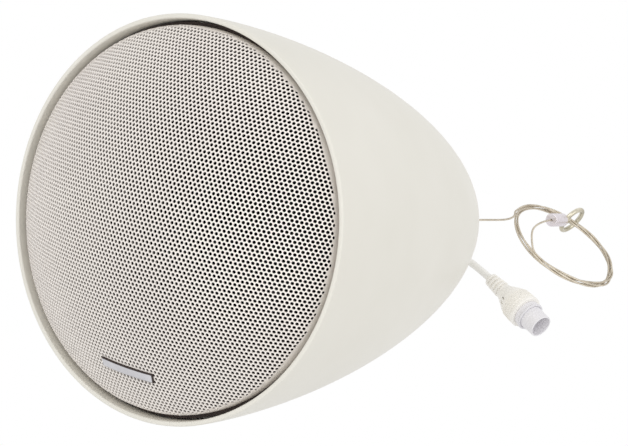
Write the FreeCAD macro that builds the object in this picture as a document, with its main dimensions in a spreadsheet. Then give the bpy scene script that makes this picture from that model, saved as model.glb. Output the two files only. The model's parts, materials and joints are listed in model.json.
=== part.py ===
import FreeCAD, Part
import math
import os
from types import SimpleNamespace

import Sketcher

# A pendant speaker: a bell shaped moulded shell that hangs mouth down on a thin steel wire.
# Lengths are millimetres. The origin is the centre of the hook ring that the speaker hangs by,
# +Z is up, and the mouth of the bell faces down. Heights named here are measured up from the
# plane of the mouth, which lies hook_height under the origin.

SIZES = {
    # Shell
    "rim_radius": 115.0,
    "bell_height": 271.4,
    "nose_cut": 30.8,
    "shell_wall": 2.8,
    "lip_round": 1.0,
    "top_round": 6.0,
    "well_radius": 26.0,
    "well_depth": 13.0,
    "well_floor": 4.0,
    "well_wall": 3.0,
    "crown_height": 13.5,
    "crown_spigot": 3.0,
    "crown_spigot_wall": 2.0,
    "ledge_width": 10.0,
    "ledge_thickness": 4.0,
    "hook_height": 492.0,
    # Grille
    "grille_gap": 3.3,
    "grille_sphere": 178.25,
    "grille_recess": 2.3,
    "grille_skirt": 7.0,
    "grille_sheet": 1.0,
    "grille_shoulder": 4.5,
    "grille_turn": 13.5,
    "hole_radius": 2.6,
    "hole_border": 16.4,
    "foam_gap": 0.3,
    "foam_thickness": 2.0,
    "badge_length": 37.0,
    "badge_width": 6.0,
    "badge_height": 1.2,
    "badge_inset": 22.9,
    # Baffle
    "baffle_gap": 0.6,
    "baffle_thickness": 6.0,
    "gasket_thickness": 1.5,
    "gasket_width": 9.0,
    "baffle_screw_inset": 9.0,
    "baffle_screw_radius": 2.0,
    "baffle_screw_head": 3.6,
    "baffle_screw_bite": 3.0,
    "baffle_screw_sink": 2.2,
    "drill_overrun": 1.0,
    "hole_clearance": 0.05,
    # Driver
    "driver_border": 43.0,
    "driver_gap": 1.0,
    "flange_width": 10.5,
    "flange_thickness": 1.6,
    "basket_depth": 48.0,
    "basket_sheet": 1.6,
    "basket_neck": 43.0,
    "basket_taper": 4.0,
    "basket_taper_depth": 12.0,
    "basket_shoulder": 2.0,
    "basket_throat": 4.0,
    "window_width": 42.0,
    "window_sill": 13.0,
    "window_lintel": 3.0,
    "motor_radius": 45.0,
    "top_plate_thickness": 5.0,
    "magnet_hole": 22.0,
    "magnet_thickness": 15.4,
    "back_plate_radius": 42.0,
    "back_plate_thickness": 5.0,
    "pole_radius": 12.0,
    "coil_gap": 0.35,
    "former_thickness": 0.9,
    "former_length": 30.0,
    "former_rise": 4.0,
    "glue_gap": 0.05,
    "spider_radius": 40.0,
    "spider_sheet": 0.6,
    "spider_wave": 1.6,
    "spider_foot": 4.0,
    "spider_flat": 2.0,
    "spider_gap": 0.3,
    "spider_depth": 9.0,
    "cone_sheet": 0.8,
    "cone_inset": 8.0,
    "cone_rim": 3.0,
    "cone_stop": 14.3,
    "cap_radius": 18.0,
    "cap_lip": 2.4,
    "cap_rise": 6.0,
    "cap_seat": 0.3,
    "surround_sheet": 0.8,
    "surround_foot": 3.0,
    "surround_edge": 0.4,
    "surround_margin": 0.9,
    "driver_screw_inset": 2.9,
    "driver_screw_radius": 1.6,
    "driver_screw_head": 2.6,
    # Circuit board
    "standoff_radius": 3.5,
    "standoff_length": 84.7,
    "standoff_seat": 2.95,
    "board_thickness": 1.6,
    "board_hole_inset": 6.0,
    "board_screw_radius": 1.5,
    "board_screw_head": 3.0,
    "transformer_side": 32.0,
    "transformer_height": 24.0,
    "capacitor_radius": 6.3,
    "capacitor_height": 25.0,
    "sink_room": 68.0,
    "sink_width": 22.0,
    "sink_height": 20.0,
    "sink_fin": 1.5,
    "chip_side": 14.0,
    "chip_height": 1.6,
    "jack_side": 16.0,
    "jack_height": 13.0,
    # Hanger
    "wire_radius": 0.75,
    "hanger_bore": 1.2,
    "hanger_shank": 4.0,
    "hanger_head": 6.5,
    "hanger_head_height": 6.0,
    "hanger_washer": 8.0,
    "washer_thickness": 1.2,
    "hanger_drop": 10.0,
    "nut_radius": 7.5,
    "nut_height": 5.0,
    "ferrule_radius": 2.6,
    "ferrule_length": 9.0,
    # Cable gland
    "gland_offset": 16.2,
    "gland_shank": 5.5,
    "gland_radius": 7.4,
    "gland_flange": 4.0,
    "gland_drop": 8.0,
    "gland_nut_height": 3.5,
    "gland_cap_height": 8.0,
    "gland_cap_thread": 5.6,
    "gland_bore": 2.6,
    "gland_seal_height": 4.0,
    "gland_seal_gap": 0.2,
    "cable_radius": 2.5,
    # Connector on the cable
    "boot_length": 13.5,
    "boot_radius": 4.0,
    "boot_ring": 5.1,
    "boot_ring_length": 2.2,
    "plug_shoulder": 5.6,
    "plug_taper": 13.0,
    "plug_radius": 11.6,
    "plug_length": 24.5,
    "neck_radius": 9.6,
    "neck_length": 3.5,
    "sleeve_radius": 8.2,
    "sleeve_length": 12.5,
    "sleeve_bore": 6.9,
    "jack_recess": 10.0,
    "port_width": 8.6,
    "port_height": 5.0,
    "port_depth": 4.0,
    "seal_radius": 0.9,
    "seal_gap": 0.02,
    # Wire coil, gripper and hook ring
    "ring_radius": 10.2,
    "ring_section": 1.8,
    "ring_neck_radius": 1.5,
    "ring_neck_length": 6.6,
    "ring_ball": 2.8,
    "ball_gap": 0.2,
    "gripper_radius": 4.9,
    "gripper_length": 18.0,
    "gripper_edge": 0.6,
    "gripper_web": 2.0,
    "gripper_socket": 3.2,
    "gripper_socket_depth": 6.4,
    "gripper_cap_height": 1.5,
    "gripper_cap_hole": 2.1,
    "gripper_slot_width": 1.8,
    "gripper_slot_length": 5.0,
    "gripper_slot_depth": 1.25,
    "gripper_insert": 6.0,
    "hoop_radius": 41.0,
    "hoop_section": 2.6,
    "hoop_lift": 1.3,
    "lead_drop": 104.0,
}

# Shape of the bell: how soon it leaves the upright wall, and how blunt its nose is.
WALL_POWER = 1.617
NOSE_POWER = 1.86
OUTLINE_STEPS = 10

BAFFLE_SCREWS = 8
DRIVER_SCREWS = 4
DRIVER_SCREW_TURN = 45.0
BASKET_WINDOWS = 4
GRILLE_HOLE_RINGS = 5
SPIDER_WAVES = 4
CAPACITORS = 3
SINK_FINS = 6
BOOT_RINGS = 4
# How much thicker the cone measures along the axis than across its sheet.
CONE_SLANT = 1.6
SHEET_NAME = "Sizes"

# Plane of the wire hoop: the direction it spreads in, and how far it leans from upright.
HOOP_AZIMUTH = 42.7
HOOP_LEAN = 8.7
# Where the hook ring holds the hoop, counted round the hoop from its spread direction.
HOOP_HELD_AT = 122.5


class Measure:
    """A length that carries its number and the sheet formula that it comes from."""

    def __init__(self, number, formula):
        self.number = float(number)
        self.formula = formula

    def _joined(self, other, sign, number):
        theirs = other.formula if isinstance(other, Measure) else f"{other:.9f}"
        return Measure(number, f"({self.formula} {sign} {theirs})")

    def __float__(self):
        return self.number

    def __add__(self, other):
        return self._joined(other, "+", self.number + float(other))

    def __sub__(self, other):
        return self._joined(other, "-", self.number - float(other))

    def __mul__(self, other):
        return self._joined(other, "*", self.number * float(other))

    def __truediv__(self, other):
        return self._joined(other, "/", self.number / float(other))

    def __neg__(self):
        return self * -1.0


NOTHING = Measure(0.0, "0")


def worked_out(number):
    """A measure that is worked out in code from the sheet's sizes."""
    return Measure(number, f"{number:.9f}")


doc = FreeCAD.newDocument("PendantSpeaker")
sheet = doc.addObject("Spreadsheet::Sheet", SHEET_NAME)
for row, (alias, number) in enumerate(SIZES.items(), start=1):
    sheet.set(f"A{row}", alias)
    sheet.set(f"B{row}", str(number))
    sheet.setAlias(f"B{row}", alias)
doc.recompute()
size = SimpleNamespace(
    **{alias: Measure(sheet.get(alias), f"{SHEET_NAME}.{alias}") for alias in SIZES}
)
nodes = {}


# Making and placing

def bind(thing, name, measure):
    """Tie one property of a document object to a measure."""
    thing.setExpression(name, measure.formula)


def stand(thing, height=NOTHING, x=NOTHING, y=NOTHING):
    """Place an object at a height above the mouth, tied to the sheet."""
    bind(thing, "Placement.Base.x", x)
    bind(thing, "Placement.Base.y", y)
    bind(thing, "Placement.Base.z", height - size.hook_height)
    return thing


def keep(name, thing):
    """Give an object its node's name and list it for export."""
    thing.Label = name
    nodes[name] = thing
    return thing


def turned(name, outline, height, x=NOTHING, y=NOTHING):
    """A body turned about its upright axis from a closed outline of (radius, height) pairs."""
    body = doc.addObject("PartDesign::Body", name)
    sketch = body.newObject("Sketcher::SketchObject", name + "_outline")
    plane = [item for item in body.Origin.OriginFeatures if item.Role == "XZ_Plane"][0]
    sketch.AttachmentSupport = (plane, [""])
    sketch.MapMode = "FlatFace"
    corners = [FreeCAD.Vector(float(radius), float(level), 0) for radius, level in outline]
    count = len(corners)
    for index, corner in enumerate(corners):
        sketch.addGeometry(Part.LineSegment(corner, corners[(index + 1) % count]))
    for index, measures in enumerate(outline):
        sketch.addConstraint(Sketcher.Constraint("Coincident", index, 2, (index + 1) % count, 1))
        for kind, axis, measure in zip(("DistanceX", "DistanceY"), (-2, -1), measures):
            if measure is NOTHING:
                sketch.addConstraint(Sketcher.Constraint("PointOnObject", index, 1, axis))
                continue
            rule = Sketcher.Constraint(kind, -1, 1, index, 1, float(measure))
            place = sketch.addConstraint(rule)
            bind(sketch, f"Constraints[{place}]", measure)
    turn = body.newObject("PartDesign::Revolution", name + "_turn")
    turn.Profile = sketch
    turn.ReferenceAxis = (sketch, ["V_Axis"])
    turn.Angle = 360
    body.Tip = turn
    return stand(body, height, x, y)


def tube_outline(outer, inner, length):
    """Outline of a plain ring or washer."""
    return [(inner, NOTHING), (outer, NOTHING), (outer, length), (inner, length)]


def disc_outline(outer, length):
    """Outline of a plain disc or rod."""
    return [(NOTHING, NOTHING), (outer, NOTHING), (outer, length), (NOTHING, length)]


def rod(name, radius, length, height, x=NOTHING, y=NOTHING):
    """An upright cylinder."""
    cylinder = doc.addObject("Part::Cylinder", name)
    bind(cylinder, "Radius", radius)
    bind(cylinder, "Height", length)
    return stand(cylinder, height, x, y)


def drill(name, radius, depth, height, x=NOTHING, y=NOTHING):
    """A cutting rod for a clearance hole that runs past both faces."""
    return rod(name, radius + size.hole_clearance, depth + size.drill_overrun * 2,
               height - size.drill_overrun, x, y)


def block(name, length, width, tall, height, x=NOTHING, y=NOTHING):
    """A box centred on (x, y) that stands at a height."""
    box = doc.addObject("Part::Box", name)
    bind(box, "Length", length)
    bind(box, "Width", width)
    bind(box, "Height", tall)
    return stand(box, height, x - length / 2, y - width / 2)


def prism(name, radius, tall, height, x=NOTHING, y=NOTHING):
    """An upright hexagon."""
    hexagon = doc.addObject("Part::Prism", name)
    hexagon.Polygon = 6
    bind(hexagon, "Circumradius", radius)
    bind(hexagon, "Height", tall)
    return stand(hexagon, height, x, y)


def joined(name, things):
    """Things fused into one solid, or a single thing as it is."""
    if len(things) == 1:
        return things[0]
    union = doc.addObject("Part::MultiFuse", name)
    union.Shapes = things
    return union


def grouped(name, things):
    """Separate solids that share one node."""
    group = doc.addObject("Part::Compound", name)
    group.Links = things
    return group


def cut(name, base, tools):
    """A base with tools taken out of it."""
    result = doc.addObject("Part::Cut", name)
    result.Base = base
    result.Tool = grouped(name + "_tools", tools) if len(tools) > 1 else tools[0]
    return result


def common(name, base, tool):
    """What two things share."""
    result = doc.addObject("Part::Common", name)
    result.Base = base
    result.Tool = tool
    return result


def is_circle(edge, radius, height):
    """Whether an edge is a circle of a radius at a height."""
    if edge.Degenerated or not isinstance(edge.Curve, Part.Circle):
        return False
    curve = edge.Curve
    return abs(curve.Radius - radius) < 0.01 and abs(curve.Center.z - height) < 0.01


def rounded(name, base, radius, wanted):
    """A base with the circle edges at the wanted (radius, height) pairs rounded."""
    doc.recompute()
    picks = []
    for index, edge in enumerate(base.Shape.Edges, start=1):
        for edge_radius, height in wanted:
            if is_circle(edge, float(edge_radius), float(height) - float(size.hook_height)):
                picks.append((index, float(radius), float(radius)))
    if len(picks) != len(wanted):
        raise RuntimeError(f"{name}: found {len(picks)} of {len(wanted)} edges to round")
    result = doc.addObject("Part::Fillet", name)
    result.Base = base
    result.Edges = picks
    return result


def round_about(count, circle, turn=0.0):
    """Places on a circle, as pairs of measures."""
    for index in range(count):
        angle = math.radians(turn + 360.0 * index / count)
        yield circle * math.cos(angle), circle * math.sin(angle)


def plain(name, shape):
    """A feature whose shape is worked out in code from the sheet's sizes."""
    feature = doc.addObject("Part::Feature", name)
    feature.Shape = shape
    feature.Placement = FreeCAD.Placement(
        FreeCAD.Vector(0, 0, -float(size.hook_height)), FreeCAD.Rotation()
    )
    return feature


# Shell

def bell_radius(height, radius, span):
    """Radius of the bell's outline at a height above the mouth."""
    return radius * (1 - (height / span) ** WALL_POWER) ** (1 / NOSE_POWER)


def bell_curve(radius, span, top):
    """Smooth outline of the bell from the mouth up to a height."""
    points = []
    for step in range(OUTLINE_STEPS + 1):
        height = top * step / OUTLINE_STEPS
        points.append(FreeCAD.Vector(bell_radius(height, radius, span), 0, height))
    curve = Part.BSplineCurve()
    curve.interpolate(points)
    return curve.toShape(), points[0], points[-1]


def turned_face(edges):
    """Solid of revolution of a closed outline in the XZ plane."""
    face = Part.Face(Part.Wire(edges))
    return face.revolve(FreeCAD.Vector(0, 0, 0), FreeCAD.Vector(0, 0, 1), 360)


def bell_solid(radius, span, top):
    """A filled bell with a flat top."""
    curve, mouth, crown = bell_curve(radius, span, top)
    foot = FreeCAD.Vector(0, 0, 0)
    head = FreeCAD.Vector(0, 0, top)
    edges = [Part.makeLine(foot, mouth), curve, Part.makeLine(crown, head), Part.makeLine(head, foot)]
    return turned_face(edges)


def ring_solid(outer, inner, low, high):
    """An upright ring between two heights."""
    base = FreeCAD.Vector(0, 0, low)
    return Part.makeCylinder(outer, high - low, base).cut(Part.makeCylinder(inner, high - low, base))


def circle_edges(shape, radius, height):
    """Circle edges of a shape at a radius and a height."""
    return [edge for edge in shape.Edges if is_circle(edge, radius, height)]


baffle_front = size.grille_recess + size.grille_skirt
baffle_back = baffle_front + size.baffle_thickness
ledge_front = baffle_back + size.gasket_thickness
floor_top = size.bell_height - size.well_depth
floor_bottom = floor_top - size.well_floor
mouth_radius = size.rim_radius - size.shell_wall
bell_span = size.bell_height + size.nose_cut
crown_foot = size.bell_height - size.crown_height
grille_radius = mouth_radius - size.grille_gap
baffle_screw_circle = size.rim_radius - size.baffle_screw_inset
driver_cutout = size.rim_radius - size.driver_border
flange_radius = driver_cutout + size.flange_width
driver_screw_circle = flange_radius - size.driver_screw_inset
cone_edge = driver_cutout - size.cone_inset


def shell_skin():
    """The bell's wall with its rounded flat top, from the mouth up."""
    radius = float(size.rim_radius)
    span = float(bell_span)
    height = float(size.bell_height)
    wall = float(size.shell_wall)
    outer = bell_solid(radius, span, height)
    crown = bell_radius(height, radius, span)
    outer = outer.makeFillet(float(size.top_round), circle_edges(outer, crown, height))
    return outer.cut(bell_solid(radius - wall, span - wall, height - wall))


def inside_radius(height):
    """Radius of the bell's inner face at a height."""
    return bell_radius(float(height), float(mouth_radius), float(bell_span - size.shell_wall))


def crown_room():
    """A drum that holds all of the bell over the foot of its top cap."""
    foot = FreeCAD.Vector(0, 0, float(crown_foot))
    return Part.makeCylinder(float(size.rim_radius), float(size.bell_height), foot)


def make_housing():
    """The moulded bell under its top cap, with the ledge that the baffle is screwed to."""
    low = float(ledge_front)
    high = low + float(size.ledge_thickness)
    inside = inside_radius(low)
    ledge = ring_solid(inside + float(size.shell_wall) / 2, inside - float(size.ledge_width), low, high)
    shell = shell_skin().cut(crown_room()).fuse(ledge).removeSplitter()
    lip = circle_edges(shell, float(size.rim_radius), 0) + circle_edges(shell, float(mouth_radius), 0)
    blank = plain("shell_blank", shell.makeFillet(float(size.lip_round), lip))
    drills = []
    for index, (x, y) in enumerate(round_about(BAFFLE_SCREWS, baffle_screw_circle)):
        depth = size.baffle_screw_bite + size.hole_clearance - size.drill_overrun
        drills.append(drill(f"ledge_drill_{index}", size.baffle_screw_radius, depth, ledge_front, x, y))
    keep("housing", cut("housing_cut", blank, drills))


def make_top_cap():
    """The bell's rounded top, with the well for the hanger and the gland and a spigot in the bell."""
    foot = float(crown_foot)
    bottom = float(floor_bottom)
    deep = float(size.crown_spigot)
    under_top = float(size.bell_height) - float(size.shell_wall) / 2
    inside = inside_radius(foot)
    spigot = ring_solid(inside - float(size.hole_clearance), inside - float(size.crown_spigot_wall),
                        foot - deep, foot + deep / 2)
    cup = Part.makeCylinder(float(size.well_radius + size.well_wall), under_top - bottom,
                            FreeCAD.Vector(0, 0, bottom))
    well = Part.makeCylinder(float(size.well_radius), float(size.well_depth) + 1,
                             FreeCAD.Vector(0, 0, float(floor_top)))
    crown = shell_skin().common(crown_room()).fuse([spigot, cup]).cut(well).removeSplitter()
    drills = [
        drill("hanger_drill", size.hanger_shank, size.well_floor, floor_bottom),
        drill("gland_drill", size.gland_shank, size.well_floor, floor_bottom, y=size.gland_offset),
    ]
    keep("top_cap", cut("crown_cut", plain("crown_blank", crown), drills))


# Grille

hole_pitch = (grille_radius - size.hole_border) / GRILLE_HOLE_RINGS
dome_apex = size.grille_recess - (
    size.grille_sphere
    - math.sqrt(float(size.grille_sphere) ** 2 - float(grille_radius) ** 2)
)


def dome(name, inset):
    """A filled dome whose wall lies an inset inside the grille's outer face."""
    ball = doc.addObject("Part::Sphere", name + "_ball")
    bind(ball, "Radius", size.grille_sphere - inset)
    stand(ball, dome_apex + size.grille_sphere)
    base = dome_apex - 1
    drum = rod(name + "_drum", grille_radius - inset, baffle_front - base, base)
    filled = common(name + "_filled", ball, drum)
    sphere = float(size.grille_sphere - inset)
    radius = float(grille_radius - inset)
    edge_height = float(dome_apex + size.grille_sphere) - math.sqrt(sphere ** 2 - radius ** 2)
    edge = [(radius, edge_height)]
    return rounded(name + "_round", filled, float(size.grille_shoulder) - float(inset), edge)


def make_grille():
    """The domed sheet with its skirt, cut through by a coarse grid of round holes."""
    sheet_metal = cut("grille_blank", dome("grille_outside", NOTHING),
                      [dome("grille_inside", size.grille_sheet)])
    holes = []
    depth = baffle_front - dome_apex
    rise = math.sqrt(3) / 2
    for row in range(-GRILLE_HOLE_RINGS, GRILLE_HOLE_RINGS + 1):
        across = 2 * GRILLE_HOLE_RINGS + 1 - abs(row)
        for column in range(across):
            place = column - (across - 1) / 2
            turn = math.radians(float(size.grille_turn))
            x = place * math.cos(turn) - row * rise * math.sin(turn)
            y = place * math.sin(turn) + row * rise * math.cos(turn)
            holes.append(rod(f"grille_hole_{len(holes)}", size.hole_radius, depth, dome_apex - 1,
                             hole_pitch * x, hole_pitch * y))
    keep("front_grille", cut("grille_cut", sheet_metal, holes))
    inset = size.grille_sheet + size.foam_gap
    keep("grille_foam", cut("foam_cut", dome("foam_outside", inset),
                            [dome("foam_inside", inset + size.foam_thickness)]))


def make_badge():
    """A blank raised bar that follows the grille's dome near its edge."""
    middle = float(dome_apex + size.grille_sphere)
    sphere = float(size.grille_sphere)
    length = float(size.badge_length)
    width = float(size.badge_width)
    tall = float(size.badge_height)
    shell = Part.makeSphere(sphere + tall, FreeCAD.Vector(0, 0, middle))
    shell = shell.cut(Part.makeSphere(sphere, FreeCAD.Vector(0, 0, middle)))
    foot = FreeCAD.Vector(-length / 2, -width / 2, middle - 2 * sphere)
    bar = Part.makeBox(length, width, 2 * sphere, foot)
    upright = [edge for edge in bar.Edges if edge.Length > 2 * sphere - 1]
    bar = bar.makeFillet(width / 4, upright)
    bar.translate(FreeCAD.Vector(0, float((grille_radius - size.badge_inset)), 0))
    bar.rotate(FreeCAD.Vector(0, 0, 0), FreeCAD.Vector(0, 0, 1), float(size.grille_turn))
    keep("badge", plain("badge_bar", shell.common(bar)))


# Baffle and its fastenings

def driver_screw_places():
    """Places of the screws through the driver's flange."""
    return round_about(DRIVER_SCREWS, driver_screw_circle, DRIVER_SCREW_TURN)


def make_baffle():
    """The board that closes the mouth, its gasket and its screws."""
    edge = worked_out(inside_radius(ledge_front)) - size.baffle_gap
    plate = turned("baffle_plate", tube_outline(edge, driver_cutout, size.baffle_thickness),
                   baffle_front)
    drills = []
    screws = []
    shank = size.baffle_thickness + size.gasket_thickness + size.baffle_screw_bite
    for index, (x, y) in enumerate(round_about(BAFFLE_SCREWS, baffle_screw_circle)):
        drills.append(drill(f"baffle_drill_{index}", size.baffle_screw_radius, size.baffle_thickness,
                            baffle_front, x, y))
        drills.append(drill(f"baffle_sink_{index}", size.baffle_screw_head,
                            size.baffle_screw_sink - size.drill_overrun, baffle_front, x, y))
        head = rod(f"baffle_screw_head_{index}", size.baffle_screw_head, size.baffle_screw_sink,
                   baffle_front, x, y)
        body = rod(f"baffle_screw_body_{index}", size.baffle_screw_radius, shank, baffle_front, x, y)
        screws.append(joined(f"baffle_screw_{index}", [head, body]))
    for index, (x, y) in enumerate(driver_screw_places()):
        drills.append(drill(f"driver_drill_{index}", size.driver_screw_radius, size.baffle_thickness,
                            baffle_front, x, y))
    keep("baffle", cut("baffle_cut", plate, drills))
    keep("baffle_screws", grouped("baffle_screw_set", screws))
    pad = turned("gasket_ring", tube_outline(edge, edge - size.gasket_width, size.gasket_thickness),
                 baffle_back)
    gasket_drills = [
        drill(f"gasket_drill_{index}", size.baffle_screw_radius, size.gasket_thickness,
              baffle_back, x, y)
        for index, (x, y) in enumerate(round_about(BAFFLE_SCREWS, baffle_screw_circle))
    ]
    keep("baffle_gasket", cut("gasket_cut", pad, gasket_drills))


# Driver

basket_top = baffle_front + size.basket_depth
plate_top = basket_top + size.top_plate_thickness
magnet_top = plate_top + size.magnet_thickness
motor_gap_radius = size.pole_radius + size.coil_gap * 2 + size.former_thickness
former_inside = size.pole_radius + size.coil_gap
former_outside = former_inside + size.former_thickness
spider_level = basket_top - size.spider_depth
flange_front = baffle_front - size.flange_thickness
cone_depth = size.basket_depth - size.cone_stop


def make_basket():
    """The pressed frame of the driver, with windows between its arms."""
    wide = driver_cutout - size.driver_gap
    skin = size.basket_sheet
    shelf = size.spider_radius
    outline = [
        (wide - skin, NOTHING),
        (flange_radius, NOTHING),
        (flange_radius, size.flange_thickness),
        (wide, size.flange_thickness),
        (wide - size.basket_taper, size.flange_thickness + size.basket_taper_depth),
        (shelf + skin + size.basket_shoulder, spider_level - flange_front + skin),
        (size.basket_neck, size.flange_thickness + size.basket_depth),
        (former_outside + size.basket_throat, size.flange_thickness + size.basket_depth),
        (former_outside + size.basket_throat, size.flange_thickness + size.basket_depth - skin),
        (shelf - size.spider_foot, size.flange_thickness + size.basket_depth - skin),
        (shelf - size.spider_foot, spider_level - flange_front),
        (shelf, spider_level - flange_front),
        (wide - size.basket_taper - skin, size.flange_thickness + size.basket_taper_depth),
    ]
    frame = turned("basket_frame", outline, flange_front)
    windows = []
    tall = spider_level - baffle_front - size.window_sill - size.window_lintel
    for index in range(BASKET_WINDOWS):
        angle = 360.0 / BASKET_WINDOWS * index
        window = block(f"basket_window_{index}", flange_radius * 2, size.window_width, tall,
                       baffle_front + size.window_sill)
        bind(window, "Placement.Base.x", NOTHING)
        bind(window, "Placement.Base.y", size.window_width / -2.0)
        holder = doc.addObject("Part::Compound", f"basket_window_turned_{index}")
        holder.Links = [window]
        holder.Placement = FreeCAD.Placement(
            FreeCAD.Vector(0, 0, 0), FreeCAD.Rotation(FreeCAD.Vector(0, 0, 1), angle)
        )
        windows.append(holder)
    drills = [
        drill(f"flange_drill_{index}", size.driver_screw_radius, size.flange_thickness,
              flange_front, x, y)
        for index, (x, y) in enumerate(driver_screw_places())
    ]
    keep("driver_basket", cut("basket_cut", frame, windows + drills))


def make_motor():
    """Top plate, magnet, back plate with its pole, and the voice coil in the gap."""
    keep("top_plate", turned("motor_plate", tube_outline(
        size.motor_radius, motor_gap_radius, size.top_plate_thickness),
        basket_top))
    keep("magnet", turned("motor_magnet", tube_outline(
        size.motor_radius, size.magnet_hole, size.magnet_thickness), plate_top))
    pole_length = size.top_plate_thickness + size.magnet_thickness
    outline = [
        (NOTHING, NOTHING),
        (size.pole_radius, NOTHING),
        (size.pole_radius, pole_length),
        (size.back_plate_radius, pole_length),
        (size.back_plate_radius, pole_length + size.back_plate_thickness),
        (NOTHING, pole_length + size.back_plate_thickness),
    ]
    keep("pole_and_back_plate", turned("motor_pole", outline, basket_top))
    keep("voice_coil", turned("coil_former", tube_outline(
        former_outside, former_inside, size.former_length),
        plate_top + size.former_rise - size.former_length))


def make_spider():
    """The rippled disc that centres the voice coil."""
    inner = former_outside + size.glue_gap
    foot = size.spider_radius - size.spider_foot * 0.8
    steps = 2 * SPIDER_WAVES
    lower = [(inner, NOTHING)]
    for step in range(1, steps):
        share = step / steps
        radius = inner * (1 - share) + (foot - size.spider_flat) * share
        lift = size.spider_wave if step % 2 else NOTHING
        lower.append((radius, lift))
    lower.append((foot - size.spider_flat, NOTHING))
    lower.append((size.spider_radius - size.spider_gap, NOTHING))
    upper = [(radius, level + size.spider_sheet) for radius, level in reversed(lower)]
    keep("spider", turned("spider_disc", lower + upper, spider_level - size.spider_sheet))


def make_cone():
    """Paper cone, dust cap and rubber surround."""
    sheet_thickness = size.cone_sheet
    neck = former_outside + size.glue_gap
    slant = sheet_thickness * CONE_SLANT
    cone_outline = [
        (cone_edge, NOTHING),
        (cone_edge + size.cone_rim, NOTHING),
        (cone_edge + size.cone_rim, sheet_thickness),
        (cone_edge + sheet_thickness * 0.75, sheet_thickness),
        (neck, cone_depth),
        (neck, cone_depth - slant),
    ]
    keep("cone", turned("cone_paper", cone_outline, flange_front))
    rim = size.cap_radius
    seat_height = cone_height_at(rim)
    cap_outline = [
        (rim - size.cap_lip, NOTHING),
        (rim, NOTHING),
        (rim * 0.8, -(size.cap_rise * 0.55)),
        (rim * 0.5, -(size.cap_rise * 0.85)),
        (NOTHING, -size.cap_rise),
        (NOTHING, -(size.cap_rise - sheet_thickness)),
        (rim * 0.48, -(size.cap_rise * 0.85 - sheet_thickness)),
        (rim * 0.76, -(size.cap_rise * 0.55 - sheet_thickness)),
    ]
    keep("dust_cap", turned("cap_dome", cap_outline, flange_front + seat_height - size.cap_seat))
    skin = size.surround_sheet
    inner = cone_edge + size.surround_edge
    outer = flange_radius - size.driver_screw_head * 2 - size.surround_margin
    middle = (inner + outer) / 2
    step = (outer - inner) / 2
    lift = step * 0.55
    roll = [
        (inner, NOTHING),
        (inner + size.surround_foot, NOTHING),
        (middle - step * 0.35, -lift * 0.8),
        (middle, -lift),
        (middle + step * 0.35, -lift * 0.8),
        (outer - size.surround_foot, NOTHING),
        (outer, NOTHING),
    ]
    back = [(radius, level - skin) for radius, level in reversed(roll)]
    keep("surround", turned("surround_roll", roll + back, flange_front))


def cone_height_at(radius):
    """Height of the cone's front face over its edge at a radius."""
    neck = former_outside + size.glue_gap
    deep = cone_depth - size.cone_sheet * CONE_SLANT
    share = (float(cone_edge) - float(radius)) / (float(cone_edge) - float(neck))
    return deep * share


def make_driver_screws():
    """Screws that hold the driver's flange to the baffle."""
    screws = []
    for index, (x, y) in enumerate(driver_screw_places()):
        head = rod(f"driver_screw_head_{index}", size.driver_screw_head, size.driver_screw_radius,
                   flange_front - size.driver_screw_radius, x, y)
        body = rod(f"driver_screw_body_{index}", size.driver_screw_radius,
                   size.flange_thickness + size.baffle_thickness, flange_front, x, y)
        screws.append(joined(f"driver_screw_{index}", [head, body]))
    keep("driver_screws", grouped("driver_screw_set", screws))


# Circuit board on its standoffs

board_bottom = baffle_back + size.standoff_length
board_top = board_bottom + size.board_thickness
board_hole_offset = (driver_cutout + size.standoff_seat) / math.sqrt(2)
board_side = (board_hole_offset + size.board_hole_inset) * 2
sink_length = board_side - size.sink_room


def corners(offset):
    """The four corner places at an offset from the middle."""
    for x_sign in (-1.0, 1.0):
        for y_sign in (-1.0, 1.0):
            yield offset * x_sign, offset * y_sign


def make_board():
    """The amplifier and network board, its standoffs and screws."""
    plate = block("board_plate", board_side, board_side, size.board_thickness, board_bottom)
    drills = []
    standoffs = []
    screws = []
    for index, (x, y) in enumerate(corners(board_hole_offset)):
        drills.append(drill(f"board_drill_{index}", size.board_screw_radius, size.board_thickness,
                            board_bottom, x, y))
        post = prism(f"standoff_post_{index}", size.standoff_radius, size.standoff_length,
                     baffle_back, x, y)
        tapped = rod(f"standoff_bore_{index}", size.board_screw_radius + size.hole_clearance,
                     size.standoff_length * 0.1, board_bottom - size.standoff_length * 0.1, x, y)
        standoffs.append(cut(f"standoff_{index}", post, [tapped]))
        head = rod(f"board_screw_head_{index}", size.board_screw_head, size.board_screw_radius,
                   board_top, x, y)
        body = rod(f"board_screw_body_{index}", size.board_screw_radius,
                   size.board_thickness + size.standoff_length * 0.08,
                   board_bottom - size.standoff_length * 0.08, x, y)
        screws.append(joined(f"board_screw_{index}", [head, body]))
    keep("circuit_board", cut("board_cut", plate, drills))
    keep("board_standoffs", grouped("standoff_set", standoffs))
    keep("board_screws", grouped("board_screw_set", screws))


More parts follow.
